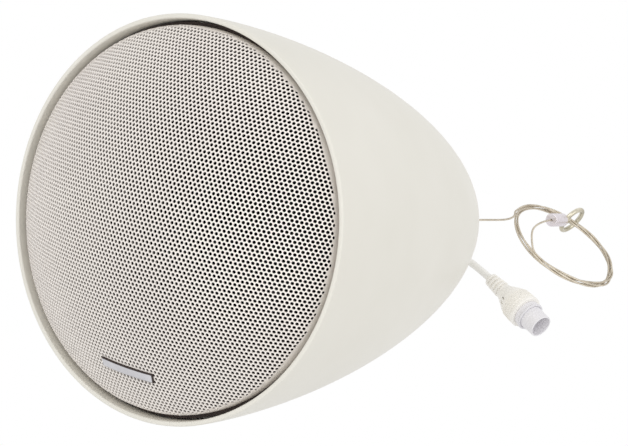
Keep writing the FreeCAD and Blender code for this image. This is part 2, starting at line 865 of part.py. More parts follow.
def make_components():
    """The large parts on the board."""
    side = size.transformer_side
    keep("power_transformer", block("transformer_block", side, side * 0.85, size.transformer_height,
                                    board_top, -board_side * 0.24, board_side * 0.2))
    cans = [
        rod(f"capacitor_can_{index}", size.capacitor_radius, size.capacitor_height, board_top,
            board_side * 0.1 + size.capacitor_radius * 2.4 * index, board_side * 0.3)
        for index in range(CAPACITORS)
    ]
    keep("capacitors", grouped("capacitor_set", cans))
    sink_x = board_side * 0.14
    sink_y = -board_side * 0.3
    base = block("sink_base", sink_length, size.sink_width, size.sink_fin * 2, board_top,
                 sink_x, sink_y)
    pitch = (size.sink_width - size.sink_fin) / (SINK_FINS - 1)
    first = sink_y - (size.sink_width - size.sink_fin) / 2
    blades = [
        block(f"sink_fin_{index}", sink_length, size.sink_fin, size.sink_height, board_top,
              sink_x, first + pitch * index)
        for index in range(SINK_FINS)
    ]
    keep("heat_sink", joined("sink_fused", [base] + blades))
    chips = [
        block("network_chip", size.chip_side, size.chip_side, size.chip_height, board_top,
              board_side * 0.02, NOTHING),
        block("codec_chip", size.chip_side * 0.7, size.chip_side * 0.7, size.chip_height, board_top,
              board_side * 0.24, NOTHING),
    ]
    keep("board_chips", grouped("chip_set", chips))
    keep("board_jack", block("jack_block", size.jack_side, size.jack_side, size.jack_height, board_top,
                             -board_side * 0.3, -board_side * 0.28))


# Hanger in the top well

washer_top = floor_top + size.washer_thickness
nut_bottom = floor_bottom - size.washer_thickness - size.nut_height


def make_hanger():
    """Hollow hanging bolt, washers, nut and the stop crimped on the wire's end."""
    shank_length = washer_top - (floor_bottom - size.hanger_drop)
    outline = [
        (size.hanger_bore, NOTHING),
        (size.hanger_shank, NOTHING),
        (size.hanger_shank, shank_length),
        (size.hanger_head, shank_length),
        (size.hanger_head, shank_length + size.hanger_head_height * 0.5),
        (size.hanger_head * 0.6, shank_length + size.hanger_head_height),
        (size.hanger_bore, shank_length + size.hanger_head_height),
    ]
    bolt_foot = floor_bottom - size.hanger_drop
    keep("hanger_bolt", turned("hanger_turned", outline, bolt_foot))
    hole = size.hanger_shank + size.hole_clearance
    keep("hanger_washer", turned("hanger_washer_ring", tube_outline(
        size.hanger_washer, hole, size.washer_thickness), floor_top))
    keep("inner_washer", turned("inner_washer_ring", tube_outline(
        size.hanger_washer, hole, size.washer_thickness), floor_bottom - size.washer_thickness))
    nut = prism("hanger_nut_hex", size.nut_radius, size.nut_height, nut_bottom)
    bore = drill("hanger_nut_bore", size.hanger_shank, size.nut_height, nut_bottom)
    keep("hanger_nut", cut("hanger_nut_cut", nut, [bore]))
    keep("wire_stop", turned("wire_stop_crimp", tube_outline(
        size.ferrule_radius, size.wire_radius, size.ferrule_length), bolt_foot - size.ferrule_length))


def make_gland():
    """Cable gland: body, lock nut, dome cap and rubber seal."""
    y = size.gland_offset
    foot = floor_bottom - size.gland_drop
    cap_foot = floor_top + size.gland_flange
    lower = cap_foot - foot
    outline = [
        (size.gland_bore, NOTHING),
        (size.gland_shank, NOTHING),
        (size.gland_shank, floor_top - foot),
        (size.gland_radius, floor_top - foot),
        (size.gland_radius, lower),
        (size.gland_bore, lower),
    ]
    keep("gland_body", turned("gland_turned", outline, foot, y=y))
    nut_foot = floor_bottom - size.gland_nut_height
    nut = prism("gland_nut_hex", size.gland_radius, size.gland_nut_height, nut_foot, y=y)
    bore = drill("gland_nut_bore", size.gland_shank, size.gland_nut_height, nut_foot, y=y)
    keep("gland_nut", cut("gland_nut_cut", nut, [bore]))
    cap = [
        (size.gland_cap_thread, NOTHING),
        (size.gland_radius, NOTHING),
        (size.gland_radius, size.gland_cap_height * 0.55),
        (size.gland_radius * 0.72, size.gland_cap_height * 0.92),
        (size.gland_radius * 0.55, size.gland_cap_height),
        (size.gland_bore, size.gland_cap_height),
        (size.gland_bore, size.gland_seal_height + size.gland_seal_gap),
        (size.gland_cap_thread, size.gland_seal_height + size.gland_seal_gap),
    ]
    keep("gland_cap", turned("gland_cap_turned", cap, cap_foot, y=y))
    keep("gland_seal", turned("gland_seal_ring", tube_outline(
        size.gland_cap_thread - size.hole_clearance, size.gland_bore, size.gland_seal_height),
        cap_foot, y=y))


# Cords

gland_top = floor_top + size.gland_flange + size.gland_cap_height
LONGEST_SHARE = 0.45


def smooth_path(points):
    """Straight runs joined by tangent arcs, each as large as its two runs allow."""
    edges = []
    radii = []
    last = points[0]
    for before, corner, after in zip(points, points[1:], points[2:]):
        back = before - corner
        ahead = after - corner
        shorter = min(back.Length, ahead.Length)
        back.normalize()
        ahead.normalize()
        turn = math.pi - back.getAngle(ahead)
        tangent = LONGEST_SHARE * shorter
        radius = tangent / math.tan(turn / 2)
        start = corner + back * tangent
        end = corner + ahead * tangent
        bisector = (back + ahead).normalize()
        middle = corner + bisector * (radius / math.cos(turn / 2) - radius)
        edges.append(Part.LineSegment(last, start).toShape())
        edges.append(Part.Arc(start, middle, end).toShape())
        radii.append(radius)
        last = end
    edges.append(Part.LineSegment(last, points[-1]).toShape())
    return Part.Wire(edges), radii


def cord_solid(name, points, radius):
    """A plain tube along a route, with its volume compared with section times length."""
    path, radii = smooth_path(points)
    direction = (points[1] - points[0]).normalize()
    section = Part.Wire(Part.makeCircle(radius, points[0], direction))
    solid = path.makePipeShell([section], True, False)
    expected = math.pi * radius ** 2 * path.Length
    print(f"{name}: length {path.Length:.1f}, radii {[round(item, 1) for item in radii]}, "
          f"volume {solid.Volume / expected:.4f} of section times length")
    return solid


def route(points):
    """Route points as vectors."""
    return [FreeCAD.Vector(*point) for point in points]


def pigtail_route():
    """The cable's way from the gland over to its connector."""
    y = float(size.gland_offset)
    top = float(gland_top)
    return route([
        (0.0, y, top),
        (0.0, y, top + 17.0),
        (7.8, y + 5.4, top + 31.1),
        (20.9, y + 14.2, top + 37.5),
        (34.6, y + 23.6, top + 34.0),
    ])


def make_pigtail():
    """The cable outside the shell."""
    keep("pigtail_cable", plain("pigtail_tube", cord_solid(
        "pigtail_cable", pigtail_route(), float(size.cable_radius))))


def make_network_lead():
    """The cable inside the shell, from the gland down to the network jack."""
    y = float(size.gland_offset)
    jack_x = -float(board_side) * 0.3
    jack_y = -float(board_side) * 0.28
    jack_top = float(board_top + size.jack_height)
    points = route([
        (0.0, y, float(gland_top)),
        (0.0, y, float(floor_bottom) - 30.0),
        (-6.0, y - 8.0, float(floor_bottom) - 62.0),
        (jack_x + 6.0, jack_y + 12.0, jack_top + 44.0),
        (jack_x, jack_y, jack_top + 22.0),
        (jack_x, jack_y, jack_top),
    ])
    keep("network_lead", plain("network_tube", cord_solid(
        "network_lead", points, float(size.cable_radius))))


def connector_placement(points):
    """Where the connector starts, and how it turns from upright to the cable's last run."""
    direction = (points[-1] - points[-2]).normalize()
    turn = FreeCAD.Rotation(FreeCAD.Vector(0, 0, 1), direction)
    start = points[-1] - FreeCAD.Vector(0, 0, float(size.hook_height))
    return start, turn, direction


def on_cable(name, outline, along):
    """A turned piece on the cable's end, at a distance along its direction."""
    body = turned(name, outline, NOTHING)
    start, turn, direction = connector_placement(pigtail_route())
    for axis in ("x", "y", "z"):
        body.setExpression(f"Placement.Base.{axis}", None)
    body.Placement = FreeCAD.Placement(start + direction * float(along), turn)
    return body


def make_connector():
    """Boot, moulded body, sleeve, jack insert and seal of the waterproof connector."""
    step = size.boot_length / BOOT_RINGS
    outer = []
    for index in range(BOOT_RINGS):
        grow = 1.0 + 0.06 * index
        low = step * float(index)
        outer.append((size.boot_ring * (grow * 0.86), low))
        outer.append((size.boot_ring * (grow * 0.86), low + size.boot_ring_length))
        outer.append((size.boot_radius * grow, low + size.boot_ring_length))
        outer.append((size.boot_radius * grow, low + step))
    boot = [(NOTHING, NOTHING)] + [(outer[0][0], NOTHING)] + outer[1:] + [(NOTHING, size.boot_length)]
    keep("connector_boot", on_cable("boot_turned", boot, NOTHING))
    body = [
        (NOTHING, NOTHING),
        (size.plug_shoulder, NOTHING),
        (size.plug_shoulder + (size.plug_radius - size.plug_shoulder) * 0.55, size.plug_taper * 0.42),
        (size.plug_radius * 0.98, size.plug_taper),
        (size.plug_radius, size.plug_length * 0.75),
        (size.plug_radius, size.plug_length),
        (NOTHING, size.plug_length),
    ]
    body_start = size.boot_length
    keep("connector_body", on_cable("plug_turned", body, body_start))
    sleeve_start = body_start + size.plug_length
    total = size.neck_length + size.sleeve_length
    sleeve = [
        (size.sleeve_bore, NOTHING),
        (size.neck_radius, NOTHING),
        (size.neck_radius, size.neck_length),
        (size.sleeve_radius, size.neck_length),
        (size.sleeve_radius, total),
        (size.sleeve_bore, total),
    ]
    keep("connector_sleeve", on_cable("sleeve_turned", sleeve, sleeve_start))
    jack_length = total - size.jack_recess
    insert = on_cable("jack_turned", disc_outline(size.sleeve_bore - size.hole_clearance, jack_length),
                      sleeve_start)
    port = doc.addObject("Part::Box", "jack_port")
    bind(port, "Length", size.port_width)
    bind(port, "Width", size.port_height)
    bind(port, "Height", size.port_depth + size.drill_overrun)
    start, turn, direction = connector_placement(pigtail_route())
    depth = float(sleeve_start + jack_length - size.port_depth)
    corner = FreeCAD.Vector(-float(size.port_width) / 2, -float(size.port_height) / 2, 0)
    port.Placement = FreeCAD.Placement(start + direction * depth + turn.multVec(corner), turn)
    keep("connector_jack", cut("jack_cut", insert, [port]))
    seal = doc.addObject("Part::Torus", "seal_ring")
    bind(seal, "Radius1", size.sleeve_radius + size.seal_radius + size.seal_gap)
    bind(seal, "Radius2", size.seal_radius)
    place = float(sleeve_start + size.neck_length + size.seal_radius + size.seal_gap)
    seal.Placement = FreeCAD.Placement(start + direction * place, turn)
    keep("connector_seal", seal)


# Hook ring, gripper and wire

ball_height = size.hook_height - size.ring_radius - size.ring_section - size.ring_neck_length
cap_bottom = ball_height + size.ring_ball + size.ball_gap
gripper_bottom = cap_bottom - size.gripper_length


def hoop_axes():
    """The hoop's spread direction, its leaning up direction and its normal."""
    azimuth = math.radians(HOOP_AZIMUTH)
    lean = math.radians(HOOP_LEAN)
    spread = FreeCAD.Vector(math.cos(azimuth), math.sin(azimuth), 0)
    side = FreeCAD.Vector(math.sin(azimuth), -math.cos(azimuth), 0)
    upward = FreeCAD.Vector(0, 0, math.cos(lean)) + side * math.sin(lean)
    return spread, upward, spread.cross(upward)


def held_point():
    """Centre of the wire bundle where it lies in the hook ring, from the ring's centre."""
    inner = float(size.ring_radius - size.ring_section)
    return FreeCAD.Vector(0, 0, float(size.hoop_section + size.hoop_lift) - inner)


def hoop_centre():
    """Centre of the wire hoop in the part's own frame."""
    spread, upward, _ = hoop_axes()
    angle = math.radians(HOOP_HELD_AT)
    radius = float(size.hoop_radius)
    return held_point() - spread * (radius * math.cos(angle)) - upward * (radius * math.sin(angle))


def hoop_point(across, up, off):
    """A point given in the hoop's own plane, as a vector over the mouth's plane."""
    spread, upward, normal = hoop_axes()
    point = hoop_centre() + spread * across + upward * up + normal * off
    return point + FreeCAD.Vector(0, 0, float(size.hook_height))


def make_hook_ring():
    """The closed ring with the neck and ball that the gripper swivels on."""
    azimuth = math.radians(HOOP_AZIMUTH)
    ring = doc.addObject("Part::Torus", "ring_loop")
    bind(ring, "Radius1", size.ring_radius)
    bind(ring, "Radius2", size.ring_section)
    facing = FreeCAD.Vector(math.cos(azimuth), math.sin(azimuth), 0)
    ring.Placement = FreeCAD.Placement(
        FreeCAD.Vector(0, 0, 0), FreeCAD.Rotation(FreeCAD.Vector(0, 0, 1), facing)
    )
    neck_top = size.hook_height - size.ring_radius
    neck = rod("ring_neck", size.ring_neck_radius, size.ring_neck_length + size.ring_section,
               neck_top - size.ring_section - size.ring_neck_length)
    ball = doc.addObject("Part::Sphere", "ring_ball")
    bind(ball, "Radius", size.ring_ball)
    stand(ball, ball_height)
    keep("hook_ring", joined("hook_ring_fused", [ring, neck, ball]))


def make_gripper():
    """The wire gripper: cylinder with a ball socket, a side slot and a brass cap."""
    bore = size.wire_radius + size.hole_clearance
    bore_depth = size.gripper_length - size.gripper_socket_depth - size.gripper_web
    outline = [
        (bore, NOTHING),
        (size.gripper_radius - size.gripper_edge, NOTHING),
        (size.gripper_radius, size.gripper_edge),
        (size.gripper_radius, size.gripper_length),
        (size.gripper_socket, size.gripper_length),
        (size.gripper_socket, size.gripper_length - size.gripper_socket_depth),
        (NOTHING, size.gripper_length - size.gripper_socket_depth),
        (NOTHING, bore_depth),
        (bore, bore_depth),
    ]
    barrel = turned("gripper_barrel", outline, gripper_bottom)
    slot = block("gripper_slot", size.gripper_radius, size.gripper_slot_width,
                 size.gripper_slot_length, gripper_bottom + size.gripper_length * 0.3,
                 -(size.gripper_radius * 1.5 - size.gripper_slot_depth))
    keep("gripper", cut("gripper_cut", barrel, [slot]))
    cap = [
        (size.gripper_cap_hole, NOTHING),
        (size.gripper_radius, NOTHING),
        (size.gripper_radius - size.gripper_edge, size.gripper_cap_height),
        (size.gripper_cap_hole, size.gripper_cap_height),
    ]
    keep("gripper_cap", turned("gripper_cap_turned", cap, cap_bottom))


def make_wire():
    """The steel wire: straight lead, the coil's outer form and the end in the gripper."""
    coil = doc.addObject("Part::Torus", "wire_hoop")
    bind(coil, "Radius1", size.hoop_radius)
    bind(coil, "Radius2", size.hoop_section)
    coil.Placement = FreeCAD.Placement(
        hoop_centre(), FreeCAD.Rotation(FreeCAD.Vector(0, 0, 1), hoop_axes()[2])
    )
    keep("wire_coil", coil)
    wire = float(size.wire_radius)
    start = float(floor_bottom - size.hanger_drop - size.ferrule_length)
    bend = float(size.hook_height - size.lead_drop)
    lead = [
        FreeCAD.Vector(0, 0, start),
        FreeCAD.Vector(0, 0, bend),
        hoop_point(-26.4, -44.6, 10.6),
        hoop_point(-33.2, -29.6, 5.6),
        hoop_point(-38.4, -17.0, 3.5),
    ]
    keep("suspension_wire", plain("lead_tube", cord_solid("suspension_wire", lead, wire)))
    low = float(gripper_bottom)
    tail = [
        FreeCAD.Vector(0, 0, low + float(size.gripper_insert)),
        FreeCAD.Vector(0, 0, low - 7.0),
        hoop_point(-19.0, -22.0, 5.0),
        hoop_point(-11.0, -33.5, 4.2),
        hoop_point(1.5, -40.2, 3.5),
    ]
    keep("wire_tail", plain("tail_tube", cord_solid("wire_tail", tail, wire)))


# The whole speaker

make_housing()
make_top_cap()
make_grille()
make_badge()
make_baffle()
make_basket()
make_motor()
make_spider()
make_cone()
make_driver_screws()
make_board()
make_components()
make_hanger()
make_gland()
make_pigtail()
make_network_lead()
make_connector()
make_hook_ring()
make_gripper()
make_wire()
doc.recompute()

for thing in doc.Objects:
    if "Invalid" in thing.State or "Error" in thing.State:
        raise RuntimeError(f"{thing.Name} failed: {thing.State}")
for name, thing in nodes.items():
    if thing.Shape.isNull() or not thing.Shape.isValid() or not thing.Shape.Solids:
        raise RuntimeError(f"{name} has no valid solid")

os.makedirs("parts", exist_ok=True)
for name, thing in nodes.items():
    thing.Shape.exportStep(f"parts/{name}.step")
print(f"{len(nodes)} nodes written")
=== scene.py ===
"""A dressed pendant speaker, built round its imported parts.

The speaker hangs mouth down on a thin steel wire. The origin is the centre of the hook ring,
+Z is up and lengths are metres. Heights over the mouth are turned into frame heights by each
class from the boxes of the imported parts.
"""

from __future__ import annotations

import json
import logging
import math
from collections import Counter
from dataclasses import dataclass
from enum import Enum
from typing import Callable, Iterable, Sequence

import bpy
from mathutils import Matrix, Vector

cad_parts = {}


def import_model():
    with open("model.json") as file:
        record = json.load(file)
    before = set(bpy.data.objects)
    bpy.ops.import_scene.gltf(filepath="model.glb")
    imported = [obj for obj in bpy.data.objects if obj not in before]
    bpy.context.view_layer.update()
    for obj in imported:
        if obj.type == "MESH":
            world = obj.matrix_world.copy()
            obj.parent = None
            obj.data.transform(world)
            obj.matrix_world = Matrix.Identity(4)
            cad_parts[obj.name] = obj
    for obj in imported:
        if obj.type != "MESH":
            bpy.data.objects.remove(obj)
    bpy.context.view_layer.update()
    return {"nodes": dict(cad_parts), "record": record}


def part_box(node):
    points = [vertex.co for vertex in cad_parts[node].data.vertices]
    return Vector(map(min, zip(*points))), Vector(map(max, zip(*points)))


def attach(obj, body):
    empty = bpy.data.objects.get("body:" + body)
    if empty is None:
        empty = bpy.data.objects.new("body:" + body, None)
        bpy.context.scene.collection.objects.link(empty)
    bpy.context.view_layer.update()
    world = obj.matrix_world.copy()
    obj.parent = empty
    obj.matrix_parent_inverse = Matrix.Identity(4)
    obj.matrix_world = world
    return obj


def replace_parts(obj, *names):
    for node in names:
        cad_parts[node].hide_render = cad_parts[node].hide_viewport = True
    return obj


MM = 0.001
BODY = "root"
MERGE = 0.002 * MM
CORD_STEPS = 16
CORD_ROUNDNESS = 6
LOG = logging.getLogger("pendant_speaker")

Colour = tuple[float, float, float, float]
Screen = tuple[int, int, int]
Place = tuple[float, float, float]
Outline = tuple[tuple[float, ...], ...]


def linear(colour: Screen) -> Colour:
    """Turns a screen colour into the shader's linear one, by the usual curve of screens.

    Args:
        colour: Red, green and blue, 0 to 255.

    Returns:
        The linear colour, opaque.
    """
    shares = (value / 255.0 for value in colour)
    curve = (part / 12.92 if part <= 0.04045 else ((part + 0.055) / 1.055) ** 2.4 for part in shares)
    return (*curve, 1.0)


# Shader maths


@dataclass(frozen=True)
class Socket:
    """An output of a shader node, with arithmetic that adds Math nodes."""

    network: "Network"
    output: bpy.types.NodeSocket

    def _with(self, operation: str, other: "Socket | float", swapped: bool = False) -> "Socket":
        """Adds one Math node for two operands."""
        pair = (other, self) if swapped else (self, other)
        return self.network.add("ShaderNodeMath", {"operation": operation}, dict(enumerate(pair)))

    def __add__(self, other: "Socket | float") -> "Socket":
        """Sum."""
        return self._with("ADD", other)

    def __radd__(self, other: float) -> "Socket":
        """Sum, number first."""
        return self._with("ADD", other)

    def __sub__(self, other: "Socket | float") -> "Socket":
        """Difference."""
        return self._with("SUBTRACT", other)

    def __rsub__(self, other: float) -> "Socket":
        """Difference, number first."""
        return self._with("SUBTRACT", other, swapped=True)

    def __mul__(self, other: "Socket | float") -> "Socket":
        """Product."""
        return self._with("MULTIPLY", other)

    def __rmul__(self, other: float) -> "Socket":
        """Product, number first."""
        return self._with("MULTIPLY", other)


class Network:
    """The node tree of one material or of the world."""

    def __init__(self, owner: bpy.types.Material | bpy.types.World) -> None:
        """Empties the owner's node tree, ready for new nodes.

        Args:
            owner: The material or the world.
        """
        owner.use_nodes = True
        self.tree = owner.node_tree
        self.tree.nodes.clear()

    def node(self, kind: str, settings: dict, values: dict) -> bpy.types.Node:
        """Adds a node, sets it up and fills its sockets.

        Args:
            kind: The node's type.
            settings: Properties that are set before the sockets.
            values: Numbers, colours or links for the sockets, by name or index.

        Returns:
            The node.
        """
        made = self.tree.nodes.new(kind)
        for name, value in settings.items():
            setattr(made, name, value)
        for key, value in values.items():
            if isinstance(value, Socket):
                self.tree.links.new(value.output, made.inputs[key])
            else:
                made.inputs[key].default_value = value
        return made

    def add(self, kind: str, settings: dict, values: dict, output: str | int = 0) -> Socket:
        """Adds a node and gives one of its outputs."""
        return Socket(self, self.node(kind, settings, values).outputs[output])

    def place(self) -> Socket:
        """Object coordinates."""
        return self.add("ShaderNodeTexCoord", {}, {}, "Object")

    def scaled(self, vector: Socket, scale: Place) -> Socket:
        """A pattern's coordinates, scaled along each axis."""
        return self.add("ShaderNodeMapping", {}, {"Vector": vector, "Scale": scale})

    def cloud(self, vector: Socket, scale: float, detail: float = 2.0) -> Socket:
        """Soft noise from 0 to 1."""
        values = {"Vector": vector, "Scale": scale, "Detail": detail, "Roughness": 0.55}
        return self.add("ShaderNodeTexNoise", {}, values, "Fac")

    def blend(self, share: Socket, first: Screen, second: Screen) -> Socket:
        """A colour between two, by a share."""
        values = {0: share, 6: linear(first), 7: linear(second)}
        return self.add("ShaderNodeMix", {"data_type": "RGBA"}, values, 2)

    def mask(self, share: Socket, low: float, high: float) -> Socket:
        """Stretches low..high to 0..1 and clamps."""
        values = {"Value": share, "From Min": low, "From Max": high}
        return self.add("ShaderNodeMapRange", {"clamp": True}, values)


# Finishes


FINE_DETAIL = 3.0
FIBRE_DETAIL = 5.0
WEAR_DETAIL = 4.0
WEAR_FINER = 4.0
MOTTLE_EDGES = (0.3, 0.7)
BUMP_STRENGTH = 0.8
STREAK_SCALE = (1.0, 1.0, 0.04)
FIBRE_SCALE = (1.0, 0.25, 1.0)
WEAVE_DISTORTION = 0.4
LAMINATE_SPREAD = 0.2
POWDER_COARSER = 0.4
POWDER_CELLS = 0.7
POWDER_CLOUD = 0.5


class Grain(Enum):
    """What the fine surface of a finish looks like."""

    MOULDED = "moulded plastic"
    POWDER = "powder coat"
    RUBBER = "rubber"
    CLOTH = "cloth"
    PAPER = "pressed paper"
    BRUSHED = "brushed metal"
    PLATED = "plated metal"
    LAMINATE = "circuit board"


@dataclass(frozen=True)
class Finish:
    """One finish: its colours, gloss and fine grain, and the record's slot where that differs."""

    name: str
    colour: Screen
    second: Screen
    grain: Grain
    roughness: float
    roughness_span: float = 0.06
    metallic: float = 0.0
    mottle_scale: float = 18.0
    grain_scale: float = 900.0
    grain_height: float = 0.00004
    coat: float = 0.0
    specular: float = 0.5
    slot: str = ""

    def _relief(self, network: Network, place: Socket) -> Socket:
        """Height of the fine grain, from 0 to 1.

        Args:
            network: The material's nodes.
            place: Object coordinates.

        Returns:
            The height.
        """
        if self.grain is Grain.BRUSHED:
            streaks = network.scaled(place, STREAK_SCALE)
            return network.cloud(streaks, self.grain_scale, FINE_DETAIL)
        if self.grain is Grain.CLOTH:
            values = {"Vector": place, "Scale": self.grain_scale, "Distortion": WEAVE_DISTORTION}
            bands = {"wave_type": "BANDS", "wave_profile": "SIN"}
            warp, weft = (
                network.add("ShaderNodeTexWave", {**bands, "bands_direction": axis}, values, "Fac")
                for axis in "XY"
            )
            return warp * 0.5 + weft * 0.5
        if self.grain is Grain.POWDER:
            values = {"Vector": place, "Scale": self.grain_scale, "Randomness": 1.0}
            cells = network.add("ShaderNodeTexVoronoi", {"feature": "SMOOTH_F1"}, values, "Distance")
            soft = network.cloud(place, self.grain_scale * POWDER_COARSER)
            return cells * POWDER_CELLS + soft * POWDER_CLOUD
        if self.grain is Grain.PAPER:
            fibres = network.scaled(place, FIBRE_SCALE)
            return network.cloud(fibres, self.grain_scale, FIBRE_DETAIL)
        if self.grain is Grain.LAMINATE:
            values = {"Vector": place, "Scale": self.grain_scale, "Randomness": LAMINATE_SPREAD}
            return network.add("ShaderNodeTexVoronoi", {"feature": "F1"}, values, "Distance")
        return network.cloud(place, self.grain_scale, FINE_DETAIL)

    def material(self) -> bpy.types.Material:
        """The finish as a material, made once.

        Returns:
            The material, the same one at every call.
        """
        name = f"{self.name}_finish"
        known = bpy.data.materials.get(name)
        if known:
            return known
        made = bpy.data.materials.new(name)
        network = Network(made)
        place = network.place()
        # The mottle is random tone for most finishes. For the bright steel it is painted reflection.
        mottle = network.mask(network.cloud(place, self.mottle_scale, FINE_DETAIL), *MOTTLE_EDGES)
        wear = network.cloud(place, self.mottle_scale * WEAR_FINER, WEAR_DETAIL)
        grain = {
            "Height": self._relief(network, place),
            "Strength": BUMP_STRENGTH,
            "Distance": self.grain_height,
        }
        surface = {
            "Base Color": network.blend(mottle, self.colour, self.second),
            "Roughness": (wear - 0.5) * self.roughness_span + self.roughness,
            "Metallic": self.metallic,
            "Coat Weight": self.coat,
            "Specular IOR Level": self.specular,
            "Normal": network.add("ShaderNodeBump", {}, grain),
        }
        shader = network.add("ShaderNodeBsdfPrincipled", {}, surface)
        network.node("ShaderNodeOutputMaterial", {}, {"Surface": shader})
        return made


SHELL_FINISH = Finish(
    "shell_plastic", (230, 227, 218), (225, 222, 212), Grain.MOULDED, 0.42,
    mottle_scale=9.0, grain_scale=1400.0, grain_height=0.000012,
)
GRILLE_FINISH = Finish(
    "grille_paint", (244, 238, 231), (239, 232, 226), Grain.POWDER, 0.38,
    mottle_scale=12.0, grain_scale=2400.0, grain_height=0.00001,
)
DARK_PLASTIC = Finish(
    "dark_plastic", (40, 26, 20), (50, 32, 23), Grain.MOULDED, 0.6, grain_scale=1200.0
)
CABLE_FINISH = Finish(
    "cable_jacket", (251, 250, 246), (247, 245, 241), Grain.RUBBER, 0.5,
    mottle_scale=40.0, grain_scale=1800.0, grain_height=0.000006,
)
CONNECTOR_FINISH = Finish(
    "connector_plastic", (251, 248, 242), (246, 243, 237), Grain.MOULDED, 0.4,
    mottle_scale=50.0, grain_height=0.000002,
)
SLEEVE_FINISH = Finish(
    "sleeve_plastic", (238, 236, 239), (231, 229, 232), Grain.MOULDED, 0.35,
    mottle_scale=60.0, grain_height=0.000002, coat=0.1,
)
ROPE_FINISH = Finish(
    "wire_rope", (226, 216, 198), (196, 185, 166), Grain.BRUSHED, 0.42, 0.1,
    metallic=0.8, mottle_scale=160.0, grain_scale=5200.0, grain_height=0.000004,
)
# Bright steel: the dark second colour, mottled into the pale one, is painted reflection. Its patches
# stand in for the dark lines and bright glints that the polished ring reflects.
STEEL_WITH_PAINTED_REFLECTIONS = Finish(
    "bright_steel", (228, 222, 204), (138, 130, 106), Grain.PLATED, 0.2, 0.1,
    metallic=1.0, mottle_scale=110.0, grain_scale=1600.0, grain_height=0.000004,
)
GRIPPER_FINISH = Finish(
    "gripper_nickel", (232, 226, 230), (208, 200, 203), Grain.BRUSHED, 0.34, 0.1,
    metallic=0.9, mottle_scale=70.0, grain_scale=2400.0, grain_height=0.000003,
    slot="bright_steel",
)
BRASS_FINISH = Finish(
    "brass", (222, 206, 160), (196, 174, 118), Grain.BRUSHED, 0.28, 0.1,
    metallic=1.0, mottle_scale=90.0, grain_scale=1600.0,
)
BADGE_FINISH = Finish(
    "badge_metal", (214, 213, 216), (196, 195, 199), Grain.BRUSHED, 0.3, 0.08,
    metallic=0.9, mottle_scale=80.0, grain_scale=2600.0, grain_height=0.00002,
)
PACKED_FINISHES = (
    Finish(
        "black_foam", (14, 9, 12), (24, 17, 21), Grain.CLOTH, 0.95,
        mottle_scale=60.0, grain_scale=600.0, grain_height=0.0004, specular=0.1,
    ),
    Finish(
        "pale_seal", (232, 230, 233), (225, 223, 226), Grain.RUBBER, 0.5,
        grain_height=0.000006,
    ),
    Finish(
        "seal_rubber", (58, 58, 60), (46, 46, 48), Grain.RUBBER, 0.75, grain_scale=1500.0
    ),
    Finish(
        "plated_steel", (205, 203, 198), (186, 184, 178), Grain.PLATED, 0.32, 0.1,
        metallic=1.0, mottle_scale=90.0, grain_scale=1400.0,
    ),
    Finish("basket_steel", (42, 42, 44), (34, 34, 36), Grain.POWDER, 0.5),
    Finish("ferrite", (66, 64, 62), (52, 50, 50), Grain.MOULDED, 0.7),
    Finish(
        "copper_winding", (200, 128, 84), (176, 104, 66), Grain.BRUSHED, 0.3,
        metallic=1.0,
    ),
    Finish("spider_cloth", (198, 170, 104), (184, 154, 92), Grain.CLOTH, 0.85),
    Finish("paper_cone", (46, 44, 44), (58, 56, 55), Grain.PAPER, 0.85),
    Finish("board_laminate", (28, 92, 56), (22, 78, 48), Grain.LAMINATE, 0.35),
    Finish("transformer_core", (138, 132, 96), (120, 114, 84), Grain.BRUSHED, 0.45),
    Finish("can_sleeve", (40, 48, 62), (32, 40, 54), Grain.MOULDED, 0.35),
    Finish("black_aluminium", (54, 54, 56), (44, 44, 46), Grain.BRUSHED, 0.4, metallic=0.8),
    Finish("jack_plastic", (234, 234, 232), (226, 226, 224), Grain.MOULDED, 0.45),
    Finish("gland_plastic", (228, 226, 218), (220, 218, 210), Grain.MOULDED, 0.5),
)
SLOT_FINISHES = {
    finish.name: finish
    for finish in (
        SHELL_FINISH, GRILLE_FINISH, DARK_PLASTIC, CABLE_FINISH, CONNECTOR_FINISH, SLEEVE_FINISH,
        ROPE_FINISH, STEEL_WITH_PAINTED_REFLECTIONS, BRASS_FINISH, BADGE_FINISH, *PACKED_FINISHES,
    )
}


# Modelling


@dataclass(frozen=True)
class Corner:
    """A corner of a turned outline, with the radius that rounds it."""

    radius: float
    height: float
    round: float = 0.0


def corners_from(rows: Sequence[Sequence[float]]) -> list[Corner]:
    """Corners from rows of radius, height and, where rounded, rounding, in millimetres."""
    return [Corner(*(value * MM for value in row)) for row in rows]


def rounded(corners: Sequence[Corner], steps: int = 4) -> list[tuple[float, float]]:
    """Outline points with each rounded corner as a tangent arc.

    Args:
        corners: The outline's corners in order.
        steps: Arc points of a rounded corner, less one.

    Returns:
        Pairs of radius and height.
    """
    points: list[tuple[float, float]] = []
    for index, corner in enumerate(corners):
        here = Vector((corner.radius, corner.height))
        if corner.round <= 0.0:
            points.append((here.x, here.y))
            continue
        before = corners[index - 1]
        after = corners[(index + 1) % len(corners)]
        back = (Vector((before.radius, before.height)) - here).normalized()
        ahead = (Vector((after.radius, after.height)) - here).normalized()
        opening = back.angle(ahead)
        tangent = corner.round / math.tan(opening / 2)
        start = here + back * tangent
        centre = here + (back + ahead).normalized() * (corner.round / math.sin(opening / 2))
        sweep = (start - centre).angle_signed(here + ahead * tangent - centre)
        for step in range(steps + 1):
            arm = start - centre
            arm.rotate(Matrix.Rotation(-sweep * step / steps, 2))
            points.append(tuple(centre + arm))
    return points


